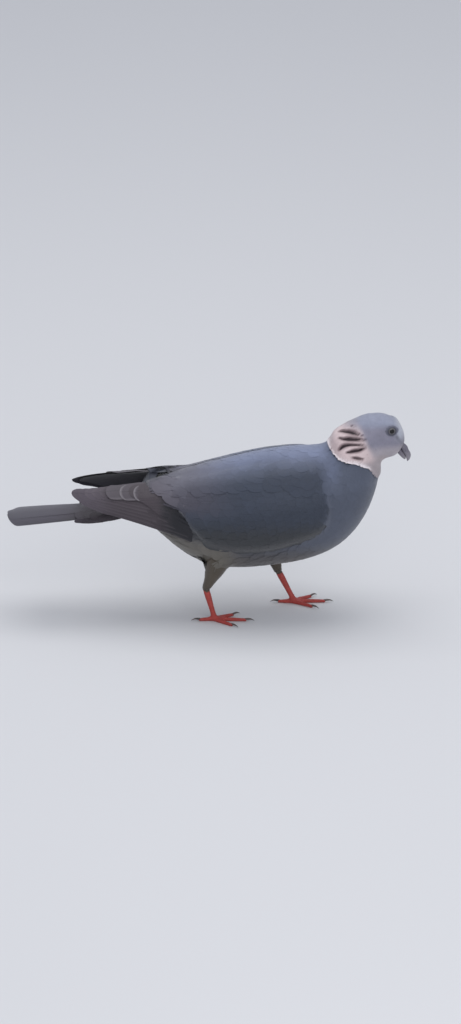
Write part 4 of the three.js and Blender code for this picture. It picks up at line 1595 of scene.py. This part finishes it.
def eye_finish():
    """A wet eye: black pupil, dusky straw iris with fine rays, and a dark edge."""
    finish = Finish("eye of a bird", Coat_Weight=0.7, Coat_Roughness=0.03, Roughness=0.4,
                    Specular_IOR_Level=0.1)
    rays = finish.noise(1500.0, 2.0, (1.0, 0.1, 1.0))
    radius = from_eye_axis(finish)
    iris = finish.mix(radius.step(1.9, 2.9), IRIS_INSIDE, IRIS)
    iris = scaled(finish, iris, 0.7 + rays * 0.6)
    iris = finish.mix(radius.step(2.7, 3.1), iris, IRIS_EDGE)
    finish.paint("Base Color", finish.mix(radius.step(1.95, 1.8), iris, PUPIL))
    return finish.material


def from_eye_axis(finish):
    """Distance in millimetres from the line through both eyes."""
    flat = finish.vectors("MULTIPLY", finish.place(), (1, 0, 1))
    return finish.vectors("DISTANCE", flat, tuple(EYE["right"] * [1, 0, 1]), 1) * (1 / MM)


def lid_finish():
    """Bare skin round the eye, darkest at the lid's edge."""
    finish = Finish("eyelid", Specular_IOR_Level=0.3)
    clouds = finish.noise(900.0, 3.0)
    colour = finish.mix(from_eye_axis(finish).step(3.1, 4.5), LID_EDGE, LID_SKIN)
    finish.paint("Base Color", scaled(finish, colour, 0.8 + clouds * 0.4))
    finish.paint("Roughness", 0.45 + clouds * 0.2)
    finish.bump(clouds, 0.15 * MM, 0.6)
    return finish.material


# The lid's ring, from the open eye outward over the top, then back beneath: how far from the eye's axis it
# lies and how far out, in millimetres.
LID = [(2.92, 2.30), (2.92, 2.58), (3.00, 2.76), (3.20, 2.80), (3.45, 2.62), (3.75, 2.28), (4.05, 1.98),
       (4.40, 1.74), (4.80, 1.52), (5.20, 1.25), (5.60, 0.85), (5.40, 0.35), (4.60, 0.45), (3.90, 0.85),
       (3.30, 1.55)]
LID_ROWS = 48
LID_TURNS = 96
BALL_ROWS = 60
BALL_TURNS = 64


def lid_ring():
    """A fleshy beaded ring over the ball of the left eye, from the open eye out to beneath the feathers."""
    points = revolved(smoothed(resampled(LID, LID_ROWS), 2) * MM, LID_TURNS)
    angle = np.arctan2(points[:, 2], points[:, 0])
    radius = np.hypot(points[:, 0], points[:, 2]) / MM
    beads = 0.07 * np.abs(np.sin(angle * 17)) * step(3.1, 3.5, radius) * step(4.6, 4.0, radius)
    points[:, 1] += beads * MM - EYE_SLANT * points[:, 0]
    return points


def make_eyes():
    """Each eye's ball, flattened and slanted as the face is, and the ring of its lids."""
    eye_paint = eye_finish()
    lid_paint = lid_finish()
    turns = np.linspace(0.02, math.pi - 0.02, BALL_ROWS)
    ball = [(EYE_RADIUS * math.sin(turn), EYE_RADIUS * math.cos(turn)) for turn in turns]
    ball = revolved(ball, BALL_TURNS)
    ball = np.concatenate([ball, [[0, EYE_RADIUS, 0], [0, -EYE_RADIUS, 0]]]) * [1, EYE_FLAT, 1]
    lid = lid_ring()
    for side, sign in SIDES.items():
        slant = ball[:, :1] * [0, sign * EYE_SLANT, 0]
        make_piece("eyeball_" + side, ball - slant + EYE[side], tube_faces(BALL_ROWS, BALL_TURNS), eye_paint,
                   ["eye_" + side])
        make_piece("eyelid_" + side, lid * [1, sign, 1] + EYE[side], tube_faces(LID_ROWS, LID_TURNS, True),
                   lid_paint)


CLAW_GRAIN = 0.2 * MM
CLAW_ROOT = 1.8 * MM


def horn_piece(node, name, finish):
    """A smooth copy of a claw node, as large as the node, with its root drawn out into the toe."""
    sharp_points, sharp_triangles, _ = node_mesh(node)
    points, triangles = remeshed(sharp_points, sharp_triangles, CLAW_GRAIN)
    points = relax(points, point_links(triangles), 5)
    middle = (sharp_points.min(0) + sharp_points.max(0)) / 2
    points = middle + (points - middle) * np.ptp(sharp_points, axis=0) / np.ptp(points, axis=0)
    toward = unit((centre("foot_" + node.split("_")[-1]) - middle) * [1, 1, 0])
    reach = ((points - middle) @ toward) / np.ptp(points @ toward)
    points = points + toward * (step(0.05, 0.5, reach) * CLAW_ROOT)[:, None]
    make_piece(name, points, triangles, finish, [node])


# Rings of the two halves of the bill, from inside the face to the tip, in the head's measures:
# ahead, the upper line, the lower line, and the half width.
UPPER_HALF = [
    (15.5, -1.8, -4.8, 2.2), (17.5, -0.7, -5.1, 2.9), (19.0, -0.15, -5.3, 3.25), (20.5, 0.0, -5.45, 3.35),
    (22.0, -0.2, -5.6, 3.1), (23.3, -0.75, -5.75, 2.5), (24.6, -1.1, -5.9, 2.2), (26.2, -1.15, -6.15, 2.1),
    (27.8, -1.55, -6.5, 1.95), (29.2, -2.4, -7.0, 1.7), (30.3, -3.6, -7.5, 1.35), (31.1, -4.9, -7.85, 0.95),
    (31.5, -6.1, -7.9, 0.55), (31.6, -7.0, -7.6, 0.2),
]
LOWER_HALF = [
    (16.0, -5.4, -8.6, 2.0), (18.0, -5.2, -9.3, 2.6), (20.0, -5.2, -9.75, 2.85), (21.5, -5.35, -9.9, 2.75),
    (23.5, -5.55, -9.75, 2.3), (25.5, -5.9, -9.5, 1.85), (27.0, -6.3, -9.25, 1.45), (28.2, -6.8, -9.0, 1.0),
    (28.8, -7.4, -8.7, 0.55), (28.95, -7.9, -8.3, 0.2),
]
BILL_RINGS = 90
BILL_TURNS = 64


def bill_half(node, name, table, flat, finish):
    """One half of the bill from its rings; flat is the side that meets the other half, -1 below, 1 above.

    The upper half has a slit nostril on each side, under a soft swelling.
    """
    rings = smoothed(resampled(table, BILL_RINGS, 3), 14)
    rings[0], rings[-1] = table[0], table[-1]
    ahead, top, bottom, half = (column[:, None] for column in rings.T)
    turn = np.arange(BILL_TURNS)[None] * 2 * math.pi / BILL_TURNS
    aside = half * np.sin(turn) * (1 + flat * 0.16 * np.cos(turn))
    height = (top + bottom) / 2 + (top - bottom) / 2 * np.cos(turn)
    if flat < 0:
        slit = np.exp(-((ahead - 22.6) / 1.25) ** 2 - ((height + 3.1 + 0.25 * (ahead - 22.6)) / 0.42) ** 2)
        aside = aside - np.sign(aside) * 0.75 * slit
        ridge = np.exp(-((ahead - 21.6) / 1.6) ** 2 - ((height + 2.0) / 0.9) ** 2)
        aside = aside + np.sign(aside) * 0.35 * ridge
    points = ahead[..., None] * BILL_WAY + height[..., None] * BILL_UP + aside[..., None] * [0, 1, 0]
    ends = [points[0].mean(0), points[-1].mean(0)]
    points = BETWEEN_EYES + np.concatenate([points.reshape(-1, 3), ends]) * MM
    make_piece(name, points, tube_faces(BILL_RINGS, BILL_TURNS), finish, [node])


def make_horns():
    """Both halves of the bill and all the claws."""
    tip = BETWEEN_EYES + (BILL_WAY * 31 - BILL_UP * 7) * MM
    bill = horn_finish("bill horn", BILL_HORN, BILL_TIP, BILL_ROOT, tip)
    bill_half("upper_bill", "bill_upper_half", UPPER_HALF, -1, bill)
    bill_half("lower_bill", "bill_lower_half", LOWER_HALF, 1, bill)
    for side in SIDES:
        for toe in ("inner", "middle", "outer", "hind"):
            node = "claw_" + toe + "_" + side
            low, high = corner(node, 0, 0.5, 1), corner(node, 1, 0.5, 0)
            claw = horn_finish("claw horn " + toe + " " + side, CLAW_HORN, CLAW_TIP, low, high, 0.3)
            horn_piece(node, "nail_" + toe + "_" + side, claw)


SCALE_SPACING = 1.7 * MM
SCALE_LENGTH = 2.1 * MM
SCALE_WIDTH = 2.6 * MM
SCALE_LIFT = 0.15 * MM
TOE_TOP = 8    # the shank begins this high, in millimetres


def leg_scales(skin):
    """Overlapping horny plates on the front of the shanks and along the top of the toes."""
    _, y, z = skin.points.T / MM
    finish = Finish("leg scales", Specular_IOR_Level=0.4)
    clouds = finish.noise(400.0, 3.0)
    finish.paint("Base Color", scaled(finish, finish.attribute("Plumage", 0), 0.85 + clouds * 0.3))
    finish.paint("Roughness", 0.42 + clouds * 0.2)
    finish.bump(clouds, 0.05 * MM, 0.5)
    for side, sign in SIDES.items():
        ankle = corner("shank_" + side, 0.5, 0.5, 1)
        front = (z > TOE_TOP) & (skin.normals[:, 0] > 0.1)
        top = (z <= TOE_TOP) & (skin.normals[:, 2] > 0.55)
        inside = (y * sign > 0) & (z < ankle[2] / MM - 2)
        spots, which, shares, _ = skin.scatter(np.where(inside & (front | top), SCALE_SPACING, 0))
        out = unit(skin.read(skin.normals, which, shares))
        toeward = unit((spots - ankle) * [1, 1, 0])
        lie = np.where((spots[:, 2] > TOE_TOP * MM)[:, None], [0.15, 0, -1.0], toeward)
        lie = unit(lie - out * (lie * out).sum(1, keepdims=True))
        count = len(spots)
        length, width, lift = (np.full(count, size) for size in (SCALE_LENGTH, SCALE_WIDTH, SCALE_LIFT))
        points, _, shading = lay(skin, SMALL_VANE, spots, lie, out, length, width, lift, lift, 0.035,
                                 roundness=0.5)
        chance = RANDOM.random(count)
        colours = toned(np.broadcast_to(LEG, points.shape), chance, SMALL_VANE, 0.12)
        coat = Coat()
        coat.gather(points, SMALL_VANE, colours, unrolled(spots), chance, shading)
        coat.piece("leg_scales_" + side, finish.material, "leg_skin")


# ---- camera, light and floor ----

def stage():
    """The camera, a pale floor, a soft sky and two wide lamps."""
    middle = (np.array(CAD_BOX[0]) + np.array(CAD_BOX[1])) / 2
    target = middle + np.array([17.6, 0, 0.6]) * MM
    lift = math.radians(20)
    away = 12.0
    camera = bpy.data.cameras.new("camera")
    camera.sensor_fit = "VERTICAL"
    camera.sensor_height = 36
    camera.lens = 514.5
    eye = added("camera", camera)
    eye.location = target + away * np.array([0, -math.cos(lift), math.sin(lift)])
    eye.rotation_euler = (math.pi / 2 - lift, 0, 0)
    bpy.context.scene.camera = eye

    size = 12.0
    mesh = bpy.data.meshes.new("floor")
    edge = [(-size, -size, 0), (size, -size, 0), (size, size, 0), (-size, size, 0)]
    mesh.from_pydata(edge, [], [(0, 1, 2, 3)])
    added("floor", mesh)
    paint = Finish("floor", Roughness=0.85, Specular_IOR_Level=0.2)
    paint.paint("Base Color", (0.68, 0.68, 0.69))
    mesh.materials.append(paint.material)

    world = bpy.data.worlds.new("soft sky")
    bpy.context.scene.world = world
    world.use_nodes = True
    sky = world.node_tree.nodes["Background"]
    sky.inputs["Color"].default_value = (0.86, 0.90, 1.0, 1)
    sky.inputs["Strength"].default_value = 0.62
    lights = [("overhead", (0.0, 0.25, 1.9), 1.6, 16.0), ("side", (0.5, -1.9, 1.1), 1.3, 12.0)]
    for name, place, width, power in lights:
        lamp = bpy.data.lights.new(name, "AREA")
        lamp.size = width
        lamp.energy = power
        holder = added(name, lamp)
        holder.location = place
        way = middle - np.array(place)
        holder.rotation_euler = (math.acos(-way[2] / np.linalg.norm(way)), 0, math.atan2(-way[0], way[1]))
    bpy.context.scene.view_settings.view_transform = "Standard"


# ---- the whole bird ----

stage()
form = coat_form()
wings = {side: FoldedWing(side, form) for side in SIDES}
skin = make_skin(wings)
soft = vane_finish("soft plumage", shaft=0.06)
fine = vane_finish("fine plumage", 70.0, 0.02 * MM)
smooth = vane_finish("wing plumage", 280.0, shaft=0.10, rough=0.55)
lining = vane_finish("wing lining", 60.0, fringe=0.0)
quills = vane_finish("quill vanes", 1100.0, 0.02 * MM, 0.22, 0.0, 0.5, 0.03)
small_feathers(form, wings, fine, soft)
for wing in wings.values():
    wing_coverts(wing, form, smooth)
    wing_lining(wing, lining)
    flight_feathers(wing, quills)
tail_feathers(quills)
make_eyes()
make_horns()
leg_scales(skin)
